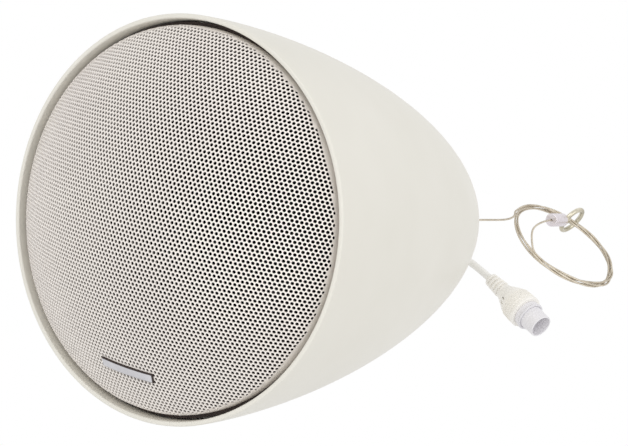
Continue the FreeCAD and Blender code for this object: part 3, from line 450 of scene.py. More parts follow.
class Workpiece:
    """One new piece, modelled in edit mode and finished with modifiers."""

    def __init__(self, name: str) -> None:
        """Clears the bench, so that an operator acts on this piece alone.

        Args:
            name: The piece's name.
        """
        self.name = name
        self.thing: bpy.types.Object | None = None
        if bpy.context.mode != "OBJECT":
            bpy.ops.object.mode_set(mode="OBJECT")
        bpy.ops.object.select_all(action="DESELECT")

    def take(self, scale: Place = (1.0, 1.0, 1.0)) -> None:
        """Takes the object that an operator just made as this piece, with its place in the mesh.

        Args:
            scale: Its scale along each axis.
        """
        self.thing = bpy.context.active_object
        self.thing.name = self.name
        self.thing.data.name = self.name
        self.thing.scale = scale
        bpy.ops.object.transform_apply(location=True, rotation=True, scale=True)

    def hold(self) -> None:
        """Selects this piece alone and makes it the active one."""
        bpy.ops.object.select_all(action="DESELECT")
        bpy.context.view_layer.objects.active = self.thing
        self.thing.select_set(True)

    def edit(self, work: Callable[[], None]) -> "Workpiece":
        """Runs one job in edit mode with everything selected at its start.

        Args:
            work: The operators to run.

        Returns:
            The piece.
        """
        self.hold()
        bpy.ops.object.mode_set(mode="EDIT")
        bpy.ops.mesh.select_all(action="SELECT")
        work()
        bpy.ops.object.mode_set(mode="OBJECT")
        return self

    def turn(self, outline: Sequence[tuple[float, float]], sides: int, looped: bool) -> "Workpiece":
        """Makes a turned piece by extruding a ring from point to point of an outline.

        Args:
            outline: Pairs of radius and height; only the last may lie on the axis.
            sides: Vertices round the piece.
            looped: Whether the outline closes on itself; otherwise its ends are filled.

        Returns:
            The piece.
        """
        radius, height = outline[0]
        bpy.ops.mesh.primitive_circle_add(vertices=sides, radius=radius, location=(0, 0, height))
        self.take()
        places = list(outline[1:]) + ([outline[0]] if looped else [])

        def raise_rings() -> None:
            """Extrudes the ring along the outline and closes its ends."""
            bpy.ops.mesh.select_mode(type="EDGE")
            if not looped:
                bpy.ops.mesh.edge_face_add()
            last_radius, last_height = radius, height
            for next_radius, next_height in places:
                step = (0.0, 0.0, next_height - last_height)
                bpy.ops.mesh.extrude_region_move(TRANSFORM_OT_translate={"value": step})
                if next_radius == 0.0:
                    bpy.ops.mesh.merge(type="CENTER")
                    break
                share = next_radius / last_radius
                centre = (0.0, 0.0, next_height)
                bpy.ops.transform.resize(value=(share, share, 1.0), center_override=centre)
                last_radius, last_height = next_radius, next_height
            bpy.ops.mesh.select_all(action="SELECT")
            bpy.ops.mesh.remove_doubles(threshold=MERGE)
            bpy.ops.mesh.normals_make_consistent(inside=False)

        return self.edit(raise_rings)

    def block(self, size: Place, centre: Place) -> "Workpiece":
        """Starts from a cube of a size.

        Args:
            size: The block's three sides.
            centre: Its middle.

        Returns:
            The piece.
        """
        bpy.ops.mesh.primitive_cube_add(size=1.0, location=centre)
        self.take(size)
        return self

    def modify(self, kind: str, **settings: object) -> None:
        """Adds a modifier, sets it up and applies it.

        Args:
            kind: The modifier's type.
            settings: Its properties.
        """
        self.hold()
        modifier = self.thing.modifiers.new(kind.title(), kind)
        for name, value in settings.items():
            setattr(modifier, name, value)
        bpy.ops.object.modifier_apply(modifier=modifier.name)

    def soften(self, width: float, segments: int, angle: float) -> None:
        """Rounds every edge that is sharper than an angle."""
        limit = {"limit_method": "ANGLE", "angle_limit": math.radians(angle)}
        self.modify("BEVEL", width=width, segments=segments, harden_normals=False, **limit)

    def subtract(self, tool: "Workpiece") -> None:
        """Takes another workpiece out of this one and deletes the other."""
        self.modify("BOOLEAN", operation="DIFFERENCE", solver="EXACT", object=tool.thing)
        bpy.data.objects.remove(tool.thing)

    def join(self, other: "Workpiece") -> None:
        """Joins another workpiece into this one's mesh.

        Args:
            other: The other workpiece.
        """
        self.hold()
        other.thing.select_set(True)
        bpy.ops.object.join()

    def move(self, matrix: Matrix) -> "Workpiece":
        """Turns and places the mesh, with the object left at the origin."""
        self.thing.data.transform(matrix)
        return self

    def finish(self, finish: Finish, angle: float = 32.0) -> bpy.types.Object:
        """Shades, dresses and hangs the piece on the speaker's body.

        Args:
            finish: The finish.
            angle: Edges sharper than this stay sharp.

        Returns:
            The finished object.
        """
        self.hold()
        bpy.ops.object.shade_smooth_by_angle(angle=math.radians(angle))
        dress(self.thing, finish)
        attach(self.thing, BODY)
        LOG.info("made %s", self.name)
        return self.thing


def dress(thing: bpy.types.Object, finish: Finish) -> None:
    """Gives an object a finish.

    Args:
        thing: The object.
        finish: The finish.
    """
    thing.data.materials.clear()
    thing.data.materials.append(finish.material())


def pick(items: Iterable, kind: str, wanted: Callable) -> None:
    """Selects the wanted vertices, edges or faces of the mesh in edit mode.

    Args:
        items: The mesh's vertices, edges or polygons.
        kind: The select mode: VERT, EDGE or FACE.
        wanted: Tells whether an item is to be selected.
    """
    if bpy.context.mode != "EDIT_MESH":
        bpy.ops.object.mode_set(mode="EDIT")
    bpy.ops.mesh.select_mode(type=kind)
    bpy.ops.mesh.select_all(action="DESELECT")
    bpy.ops.object.mode_set(mode="OBJECT")
    for item in items:
        item.select = wanted(item)
    bpy.ops.object.mode_set(mode="EDIT")


# Shell


@dataclass
class Shell:
    """The moulded bell with its lip, its top well and the ledge behind the baffle."""

    wall: float = 2.8 * MM
    lip_round: float = 1.0 * MM
    top_round: float = 6.0 * MM
    well_radius: float = 26.0 * MM
    well_depth: float = 13.0 * MM
    well_floor: float = 4.0 * MM
    well_wall: float = 3.0 * MM
    well_edge: float = 1.0 * MM
    well_corner: float = 1.5 * MM
    bolt_hole: float = 0.5 * MM
    ledge_width: float = 10.0 * MM
    ledge_thickness: float = 4.0 * MM
    nose_gap: float = 30.8 * MM
    wall_power: float = 1.617
    nose_power: float = 1.86
    rings: int = 26
    sides: int = 192
    sharp: float = 40.0

    def radius_at(self, height: float, radius: float, length: float) -> float:
        """Radius, at a height over the mouth, of a bell with a mouth's radius and a length."""
        return radius * (1 - (height / length) ** self.wall_power) ** (1 / self.nose_power)

    def outline(self, rim: float, mouth: float, top: float, ledge: float) -> list[Corner]:
        """The closed outline of the shell, outside first.

        Args:
            rim: Radius of the lip.
            mouth: Height of the mouth's plane.
            top: Height of the bell's flat top.
            ledge: Height of the ledge's front.

        Returns:
            The corners.
        """
        tall = top - mouth
        length = tall + self.nose_gap
        corners = [Corner(rim, mouth, self.lip_round)]
        for step in range(1, self.rings):
            height = tall * step / self.rings
            corners.append(Corner(self.radius_at(height, rim, length), mouth + height))
        corners.append(Corner(self.radius_at(tall, rim, length), top, self.top_round))
        floor = top - self.well_depth
        cup = self.well_radius + self.well_wall
        corners += [
            Corner(self.well_radius, top, self.well_edge),
            Corner(self.well_radius, floor, self.well_corner),
            Corner(self.bolt_hole, floor),
            Corner(self.bolt_hole, floor - self.well_floor),
            Corner(cup, floor - self.well_floor, self.well_edge),
            Corner(cup, top - self.wall),
        ]
        inside = rim - self.wall
        inner_length = length - self.wall
        for step in range(self.rings - 1, 0, -1):
            height = (tall - self.wall) * step / self.rings
            if mouth + height > ledge + self.ledge_thickness:
                corners.append(Corner(self.radius_at(height, inside, inner_length), mouth + height))
        seat = self.radius_at(ledge - mouth, inside, inner_length)
        corners += [
            Corner(seat, ledge + self.ledge_thickness),
            Corner(seat - self.ledge_width, ledge + self.ledge_thickness),
            Corner(seat - self.ledge_width, ledge),
            Corner(seat, ledge),
            Corner(inside, mouth, self.lip_round),
        ]
        return corners

    def build(self) -> None:
        """Turns the shell and puts it in place of the plain one."""
        low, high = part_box("housing")
        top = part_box("top_cap")[1].z
        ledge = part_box("baffle_gasket")[1].z
        corners = self.outline(high.x, low.z, top, ledge)
        piece = Workpiece("bell_shell").turn(rounded(corners), self.sides, looped=True)
        made = piece.finish(SHELL_FINISH, self.sharp)
        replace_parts(made, "housing", "top_cap")


# Grille


DOME_RADIUS = 178.25 * MM


@dataclass
class Grille:
    """The domed sheet with its fine holes, which run over the shoulder to the skirt.

    The lattice is trimmed a share of its pitch, spare, past the sheet's edge. Hexagons centred
    within off_point pitches of a lattice point are holes, and open edges longer than long_edge
    pitches are the outline's.
    """

    sphere: float = DOME_RADIUS
    sheet: float = 0.8 * MM
    shoulder: float = 4.0 * MM
    pitch: float = 2.66 * MM
    hole: float = 1.095 * MM
    spare: float = 0.35
    spare_rows: int = 5
    off_point: float = 0.1
    long_edge: float = 0.9
    turn: float = 12.95
    near: float = 0.05 * MM
    merge: float = 0.02 * MM
    sharp: float = 40.0

    def lattice(self, edge: float) -> Workpiece:
        """A flat triangular lattice, trimmed round, with a hexagonal hole at each point.

        Args:
            edge: Radius, along the dome, at which the lattice ends.

        Returns:
            The flat sheet, centred on the origin.
        """
        rise = math.sqrt(3) / 2
        count = 2 * (int(edge / rise / self.pitch) + self.spare_rows)
        piece = Workpiece("front_grille_sheet")
        size = count * self.pitch
        bpy.ops.mesh.primitive_grid_add(x_subdivisions=count, y_subdivisions=count, size=size)
        piece.take()
        lean = Matrix(((1, 0.5, 0, 0), (0, rise, 0, 0), (0, 0, 1, 0), (0, 0, 0, 1)))
        place = Matrix.Rotation(math.radians(self.turn), 4, "Z") @ lean
        upright = place.inverted()
        piece.move(place)
        mesh = piece.thing.data

        def is_hole(face: bpy.types.MeshPolygon) -> bool:
            """Whether a face is a hexagon centred on a point of the lattice."""
            steps = (upright @ face.center / self.pitch).xy
            return len(face.vertices) == 6 and all(abs(x - round(x)) < self.off_point for x in steps)

        def punch() -> None:
            """Trims the lattice and opens a hole at every point but the outermost."""
            bpy.ops.mesh.quads_convert_to_tris(quad_method="FIXED_ALTERNATE")
            outer = edge + self.pitch * self.spare
            pick(mesh.vertices, "VERT", lambda vertex: vertex.co.length > outer)
            bpy.ops.mesh.delete(type="VERT")
            bpy.ops.mesh.select_all(action="SELECT")
            bpy.ops.mesh.delete_loose()
            inner = outer - self.pitch
            pick(mesh.vertices, "VERT", lambda vertex: vertex.co.length < inner)
            bpy.ops.mesh.bevel(offset=self.hole, affect="VERTICES", segments=1)
            pick(mesh.polygons, "FACE", is_hole)
            bpy.ops.mesh.delete(type="ONLY_FACE")

        return piece.edit(punch)

    def rim(self, mesh: bpy.types.Mesh, is_far: Callable[[Vector], bool], shortest: float) -> None:
        """Selects the sheet's outer edge, in edit mode.

        Args:
            mesh: The sheet.
            is_far: Whether a point lies far enough out to be on the edge.
            shortest: Length that the wanted edges exceed.
        """
        bpy.ops.object.mode_set(mode="OBJECT")
        uses = Counter(key for face in mesh.polygons for key in face.edge_keys)

        def is_outer(edge: bpy.types.MeshEdge) -> bool:
            """Whether an edge is open, far out and long enough."""
            a, b = (mesh.vertices[index].co for index in edge.vertices)
            return uses[edge.key] == 1 and (a - b).length > shortest and is_far(a) and is_far(b)

        pick(mesh.edges, "EDGE", is_outer)

    def build(self) -> None:
        """Punches, bends and thickens the sheet and puts it in place of the plain one."""
        low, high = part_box("front_grille")
        radius = high.x
        core = self.sphere - self.shoulder
        bend = math.asin((radius - self.shoulder) / core)
        dome = bend * self.sphere
        edge = dome + (math.pi / 2 - bend) * self.shoulder
        middle = low.z + self.sphere
        skirt = middle - core * math.cos(bend)
        piece = self.lattice(edge)
        mesh = piece.thing.data

        def round_off() -> None:
            """Moves the jagged edge onto a true circle."""
            shortest = self.long_edge * self.pitch
            self.rim(mesh, lambda point: point.length > edge - self.pitch, shortest)
            bpy.ops.transform.tosphere(value=1.0, center_override=(0.0, 0.0, 0.0))
            bpy.ops.object.mode_set(mode="OBJECT")
            reached = max(vertex.co.length for vertex in mesh.vertices if vertex.select)
            bpy.ops.object.mode_set(mode="EDIT")
            share = edge / reached
            bpy.ops.transform.resize(value=(share, share, 1.0), center_override=(0.0, 0.0, 0.0))
            bpy.ops.mesh.select_all(action="SELECT")
            bpy.ops.mesh.remove_doubles(threshold=self.merge)

        piece.edit(round_off)
        for vertex in mesh.vertices:
            reach = vertex.co.length
            if reach <= dome:
                angle = reach / self.sphere
                across = self.sphere * math.sin(angle)
                height = middle - self.sphere * math.cos(angle)
            else:
                angle = bend + (reach - dome) / self.shoulder
                across = core * math.sin(bend) + self.shoulder * math.sin(angle)
                height = skirt - self.shoulder * math.cos(angle)
            flat = vertex.co.normalized() * across
            vertex.co = (flat.x, flat.y, height)

        def roll() -> None:
            """Draws the rim up into the skirt."""
            self.rim(mesh, lambda point: point.z > skirt - self.near, 0.0)
            rise = (0.0, 0.0, high.z - skirt)
            bpy.ops.mesh.extrude_region_move(TRANSFORM_OT_translate={"value": rise})
            bpy.ops.mesh.select_all(action="SELECT")
            bpy.ops.mesh.normals_make_consistent(inside=False)

        piece.edit(roll)
        lowest = min(mesh.polygons, key=lambda face: face.center.z)
        if lowest.normal.z > 0:
            piece.edit(lambda: bpy.ops.mesh.flip_normals())
        piece.modify("SOLIDIFY", thickness=self.sheet, offset=-1.0, use_even_offset=False)
        made = piece.finish(GRILLE_FINISH, self.sharp)
        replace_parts(made, "front_grille")


@dataclass
class Badge:
    """A blank raised bar at the grille's edge: a bright face on a dark base."""

    length: float = 37.0 * MM
    width: float = 6.0 * MM
    face_height: float = 1.2 * MM
    face_from: float = 0.3
    base_to: float = 0.6
    base_sunk: float = 0.3 * MM
    border: float = 0.7 * MM
    radius: float = 86.0 * MM
    turn: float = 13.5
    sphere: float = DOME_RADIUS
    cuts: int = 12
    edge_round: float = 0.25 * MM
    edge_steps: int = 2
    sharp: float = 50.0

    def bar(self, name: str, inset: float, low: float, high: float) -> Workpiece:
        """One bar that follows the dome between two heights over its face.

        Args:
            name: The bar's name.
            inset: How far its sides lie inside the badge's.
            low: Height of its underside.
            high: Height of its face.

        Returns:
            The bar.
        """
        size = (self.length - 2 * inset, self.width - 2 * inset, high - low)
        piece = Workpiece(name).block(size, (0.0, 0.0, -(low + high) / 2))
        piece.edit(lambda: bpy.ops.mesh.subdivide(number_cuts=self.cuts))
        piece.soften(self.edge_round, self.edge_steps, self.sharp)
        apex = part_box("front_grille")[0].z
        centre = Vector((0.0, 0.0, apex + self.sphere))
        tilt = math.asin(self.radius / self.sphere)
        for vertex in piece.thing.data.vertices:
            x, y, z = vertex.co
            arm = Vector((0.0, 0.0, -(self.sphere - z)))
            arm.rotate(Matrix.Rotation(-x / self.sphere, 3, "Y"))
            arm.rotate(Matrix.Rotation(tilt + y / self.sphere, 3, "X"))
            vertex.co = centre + arm
        return piece.move(Matrix.Rotation(math.radians(self.turn), 4, "Z"))

    def build(self) -> None:
        """Makes both bars in place of the plain one."""
        top = self.face_height
        dark = self.bar("badge_base", 0.0, -self.base_sunk, top * self.base_to).finish(DARK_PLASTIC)
        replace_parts(dark, "badge")
        self.bar("badge_face", self.border, top * self.face_from, top).finish(BADGE_FINISH)


# Cable and connector


@dataclass
class NetworkCable:
    """The short cable from the gland and the waterproof connector on its end.

    The bends are places over the gland's cap, and the outlines rows of radius, height and
    rounding, in millimetres. The cable's control points are those of the plain tube.
    """

    radius: float = 2.5 * MM
    exit_y: float = 16.2 * MM
    bends: Outline = (
        (0.0, 0.0, 0.0), (0.0, 0.0, 17.0), (7.8, 5.4, 31.1), (20.9, 14.2, 37.5), (34.6, 23.6, 34.0),
    )
    sides: int = 96
    boot_foot: tuple[float, ...] = (3.3, 0.0, 0.4)
    boot_rib: Outline = ((4.7, 0.15, 0.4), (4.8, 2.0, 0.4), (3.2, 2.2, 0.2), (3.3, 3.375))
    boot_growth: tuple[float, ...] = (0.3, 0.3, 0.4, 0.4)
    boot_pitch: float = 3.375
    boot_ribs: int = 4
    boot_end: tuple[float, ...] = (5.4, 13.5)
    boot_sharp: float = 50.0
    plug_outline: Outline = (
        (5.4, 0.0), (5.6, 1.6, 1.5), (7.4, 5.4, 6.0), (9.8, 10.4, 5.0), (10.7, 13.2), (11.2, 20.2),
        (11.2, 20.6, 0.1), (10.8, 20.8), (10.8, 21.4), (11.6, 21.7, 0.3), (11.6, 24.5, 0.7), (9.0, 24.5),
    )
    plug_sharp: float = 38.0
    grip_from: float = 13.4 * MM
    grip_to: float = 20.0 * MM
    grip_inset: float = 0.06 * MM
    grip_rise: float = 0.34 * MM
    slots_face: Place = (-0.24, 0.04, -0.95)
    slots_from: float = 9.9 * MM
    slot_size: Place = (4.4 * MM, 1.1 * MM, 3.2 * MM)
    slot_radius: float = 9.2 * MM
    slot_aside: float = 0.17
    slot_stagger: float = 0.34 * MM
    sleeve_outline: Outline = (
        (6.9, 0.0), (9.4, 0.0, 0.4), (9.4, 3.5, 0.6), (8.25, 3.5, 0.2), (8.25, 8.5, 0.3),
        (8.0, 8.9, 0.3), (7.9, 16.0, 0.5), (6.9, 16.0, 0.4),
    )

    def route(self) -> list[Vector]:
        """The cable's control points."""
        exit_place = Vector((0.0, self.exit_y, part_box("gland_cap")[1].z))
        return [exit_place + Vector(bend) * MM for bend in self.bends]

    def along(self, distance: float) -> Matrix:
        """The place at a distance past the cable's end, turned to the cable's direction.

        Args:
            distance: The distance in millimetres.

        Returns:
            The matrix for a piece that stands on the origin.
        """
        points = self.route()
        direction = (points[-1] - points[-2]).normalized()
        turn = Vector((0.0, 0.0, 1.0)).rotation_difference(direction).to_matrix().to_4x4()
        return Matrix.Translation(points[-1] + direction * distance * MM) @ turn

    def boot(self) -> bpy.types.Object:
        """The ribbed strain relief.

        Returns:
            The boot.
        """
        rows = [self.boot_foot]
        for index in range(self.boot_ribs):
            rise = self.boot_pitch * index
            for (radius, height, *rest), growth in zip(self.boot_rib, self.boot_growth):
                rows.append((radius + growth * index, rise + height, *rest))
        outline = rounded(corners_from([*rows, self.boot_end]), 3)
        piece = Workpiece("connector_boot_ribbed").turn(outline, self.sides, looped=False)
        made = piece.move(self.along(0.0)).finish(CONNECTOR_FINISH, self.boot_sharp)
        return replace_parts(made, "connector_boot")

    def plug(self) -> bpy.types.Object:
        """The moulded body: a swelling shoulder, grip ribs, a collar and two pairs of slots.

        Returns:
            The body.
        """
        outline = rounded(corners_from(self.plug_outline))
        piece = Workpiece("connector_barrel").turn(outline, self.sides, looped=False)
        mesh = piece.thing.data
        pitch = 2 * math.pi / self.sides

        def is_rib(face: bpy.types.MeshPolygon) -> bool:
            """Whether a face is every second one of the grip band."""
            turn = round(math.atan2(face.center.y, face.center.x) / pitch - 0.5)
            return self.grip_from < face.center.z < self.grip_to and turn % 2 == 0

        def raise_ribs() -> None:
            """Raises the ribs of the grip band."""
            pick(mesh.polygons, "FACE", is_rib)
            for rise in (0.0, self.grip_rise):
                bpy.ops.mesh.inset(thickness=self.grip_inset, depth=rise, use_individual=True)

        piece.edit(raise_ribs)
        face = self.along(0.0).to_3x3().inverted() @ Vector(self.slots_face)
        facing = math.atan2(face.y, face.x)
        for side in (facing, facing + math.pi):
            for sign in (-1, 1):
                height = self.slots_from + sign * self.slot_stagger
                slot = Workpiece("slot_tool").block(self.slot_size, (self.slot_radius, 0.0, height))
                piece.subtract(slot.move(Matrix.Rotation(side + sign * self.slot_aside, 4, "Z")))
        made = piece.move(self.along(self.boot_end[1])).finish(CONNECTOR_FINISH, self.plug_sharp)
        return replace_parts(made, "connector_body")

    def sleeve(self) -> bpy.types.Object:
        """The pale sleeve with its hollow end.

        Returns:
            The sleeve.
        """
        outline = rounded(corners_from(self.sleeve_outline))
        piece = Workpiece("connector_mouth").turn(outline, self.sides, looped=True)
        place = self.along(self.boot_end[1] + self.plug_outline[-1][1])
        made = piece.move(place).finish(SLEEVE_FINISH, self.plug_sharp)
        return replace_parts(made, "connector_sleeve")

    def build(self) -> None:
        """Lays the cable and fits the connector's pieces."""
        points = self.route()
        cable = spline_curve("network_cable", points, self.radius)
        dress(cable, CABLE_FINISH)
        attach(cable, BODY)
        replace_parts(cable, "pigtail_cable")
        pieces = [self.boot(), self.plug(), self.sleeve(), "connector_jack", "connector_seal"]
        2 * self.radius
        LOG.info("laid network_cable")


def spline_curve(name: str, points: Sequence[Vector], radius: float) -> bpy.types.Object:
    """A smooth cord through its control points.

    Args:
        name: The piece's name.
        points: The control points.
        radius: Half the cord's diameter, or 0 for a bare line.

    Returns:
        The curve object.
    """
    curve = bpy.data.curves.new(name, "CURVE")
    curve.dimensions = "3D"
    curve.resolution_u = CORD_STEPS
    curve.bevel_depth = radius
    curve.bevel_resolution = CORD_ROUNDNESS
    curve.use_fill_caps = radius > 0
    line = curve.splines.new("NURBS")
    line.points.add(len(points) - 1)
    for place, point in zip(line.points, points):
        place.co = (*point, 1.0)
    line.order_u = 3
    line.use_endpoint_u = True
    thing = bpy.data.objects.new(name, curve)
    bpy.context.scene.collection.objects.link(thing)
    return thing


# Wire, gripper and hook ring


@dataclass
class HangingWire:
    """One steel wire: straight lead, four loose turns of a hoop and the end in the gripper.

    The way in and the way out are points in the hoop's own plane, in millimetres: across, up and
    off it. Angles are degrees. Each turn wanders round the bundle's line and differs in size.
    """

    radius: float = 0.75 * MM
    strand_dip: float = 0.13 * MM
    strands: int = 6
    lay: float = 9.0 * MM
    step: float = 0.5 * MM
    hoop_radius: float = 41.0 * MM
    azimuth: float = 42.7
    lean: float = 8.7
    held_at: float = 122.5
    held_height: float = -4.5 * MM
    first_angle: float = 203.9
    last_angle: float = -1167.9
    turn_points: int = 16
    bundle: float = 1.5 * MM
    wander: float = 2.25
    loose_share: float = 0.35
    loose_rate: float = 1.7
    loose_start: float = 0.6
    seat: float = 2.0 * MM
    lead_bend: float = -104.0 * MM
    way_in: tuple[Place, ...] = ((-26.4, -44.6, 10.6), (-33.2, -29.6, 5.6))
    way_out: tuple[Place, ...] = ((-11.0, -33.5, 4.2), (-19.0, -22.0, 5.0))
    under_grip: float = 7.0 * MM
    in_grip: float = 6.0 * MM
    sharp: float = 80.0

    def axes(self) -> tuple[Vector, Vector, Vector]:
        """The hoop's directions.

        Returns:
            The direction in which it spreads, the leaning one upwards and its normal.
        """
        azimuth = math.radians(self.azimuth)
        lean = math.radians(self.lean)
        spread = Vector((math.cos(azimuth), math.sin(azimuth), 0.0))
        side = Vector((math.sin(azimuth), -math.cos(azimuth), 0.0))
        upward = Vector((0.0, 0.0, math.cos(lean))) + side * math.sin(lean)
        return spread, upward, spread.cross(upward)

    def centre(self) -> Vector:
        """The hoop's centre.

        Returns:
            The centre, which lies so that the hoop hangs from the ring.
        """
        spread, upward, _ = self.axes()
        angle = math.radians(self.held_at)
        held = Vector((0.0, 0.0, self.held_height))
        return held - self.hoop_radius * (spread * math.cos(angle) + upward * math.sin(angle))

    def at(self, across: float, up: float, off: float) -> Vector:
        """A point given in the hoop's own plane, in millimetres."""
        spread, upward, normal = self.axes()
        return self.centre() + (spread * across + upward * up + normal * off) * MM

    def turns(self) -> list[Vector]:
        """The hoop's turns.

        Returns:
            Their control points.
        """
        spread, upward, normal = self.axes()
        swing = math.radians(self.last_angle - self.first_angle)
        count = round(abs(swing) / (2 * math.pi) * self.turn_points)
        widen = 1.0 / math.cos(math.pi / self.turn_points)
        points = []
        for index in range(count + 1):
            angle = math.radians(self.first_angle) + swing * index / count
            travelled = abs(swing) * index / count
            roll = travelled * self.wander
            swell = math.sin(travelled * self.loose_rate + self.loose_start)
            loose = self.bundle * (1.0 + self.loose_share * swell)
            away = self.hoop_radius + loose * math.cos(roll)
            arm = spread * math.cos(angle) + upward * math.sin(angle)
            points.append(self.centre() + arm * away * widen + normal * loose * math.sin(roll))
        return points

    def route(self) -> list[Vector]:
        """All control points of the wire, from the hanger to the gripper.

        Returns:
            The points.
        """
        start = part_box("suspension_wire")[0].z + self.seat
        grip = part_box("gripper")[0].z
        bend = Vector((0.0, 0.0, self.lead_bend))
        way_in = [self.at(*place) for place in self.way_in]
        way_out = [self.at(*place) for place in self.way_out]
        before_bend = self.lead_bend - (way_in[0] - bend).length
        lead = [Vector((0.0, 0.0, height)) for height in (start, before_bend)]
        tail = [Vector((0.0, 0.0, height)) for height in (grip - self.under_grip, grip + self.in_grip)]
        return [*lead, bend, *way_in, *self.turns(), *way_out, *tail]

    def line(self) -> list[Vector]:
        """The wire's smooth line.

        Returns:
            Evenly spaced points on it.
        """
        bare = spline_curve("wire_line", self.route(), 0.0)
        mesh = bpy.data.meshes.new_from_object(bare)
        raw = [vertex.co.copy() for vertex in mesh.vertices]
        bpy.data.objects.remove(bare)
        bpy.data.meshes.remove(mesh)
        points = [raw[0]]
        spare = 0.0
        for first, second in zip(raw, raw[1:]):
            length = (second - first).length
            place = self.step - spare
            while place <= length:
                points.append(first.lerp(second, place / length))
                place += self.step
            spare = length - (place - self.step)
        return points

    def build(self, ring_pieces: Sequence[bpy.types.Object]) -> None:
        """Args:
            ring_pieces: The gripper's and the ring's pieces. Not used.
        """
        line = self.line()
        count = len(line)
        corners = 2 * self.strands
        side = (line[1] - line[0]).orthogonal().normalized()
        vertices: list[Vector] = []
        for index, point in enumerate(line):
            ahead = (line[min(index + 1, count - 1)] - line[max(index - 1, 0)]).normalized()
            side = (side - ahead * side.dot(ahead)).normalized()
            other = ahead.cross(side)
            twist = 2 * math.pi * index * self.step / self.lay
            for corner in range(corners):
                angle = twist + 2 * math.pi * corner / corners
                away = self.radius if corner % 2 else self.radius - self.strand_dip
                vertices.append(point + (side * math.cos(angle) + other * math.sin(angle)) * away)
        rings = [range(ring * corners, (ring + 1) * corners) for ring in range(count)]
        faces: list[tuple[int, ...]] = []
        for low, high in zip(rings, rings[1:]):
            for here in range(corners):
                beside = (here + 1) % corners
                faces.append((low[here], low[beside], high[beside], high[here]))
        faces += [tuple(reversed(rings[0])), tuple(rings[-1])]
        mesh = bpy.data.meshes.new("steel_wire")
        mesh.from_pydata([tuple(vertex) for vertex in vertices], [], faces)
        piece = Workpiece("steel_wire")
        piece.thing = bpy.data.objects.new("steel_wire", mesh)
        bpy.context.scene.collection.objects.link(piece.thing)
        made = piece.finish(ROPE_FINISH, self.sharp)
        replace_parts(made, "suspension_wire", "wire_coil", "wire_tail")
        length = sum((b - a).length for a, b in zip(line, line[1:]))
        2 * self.radius
        LOG.info("wire is %.3f m long", length)


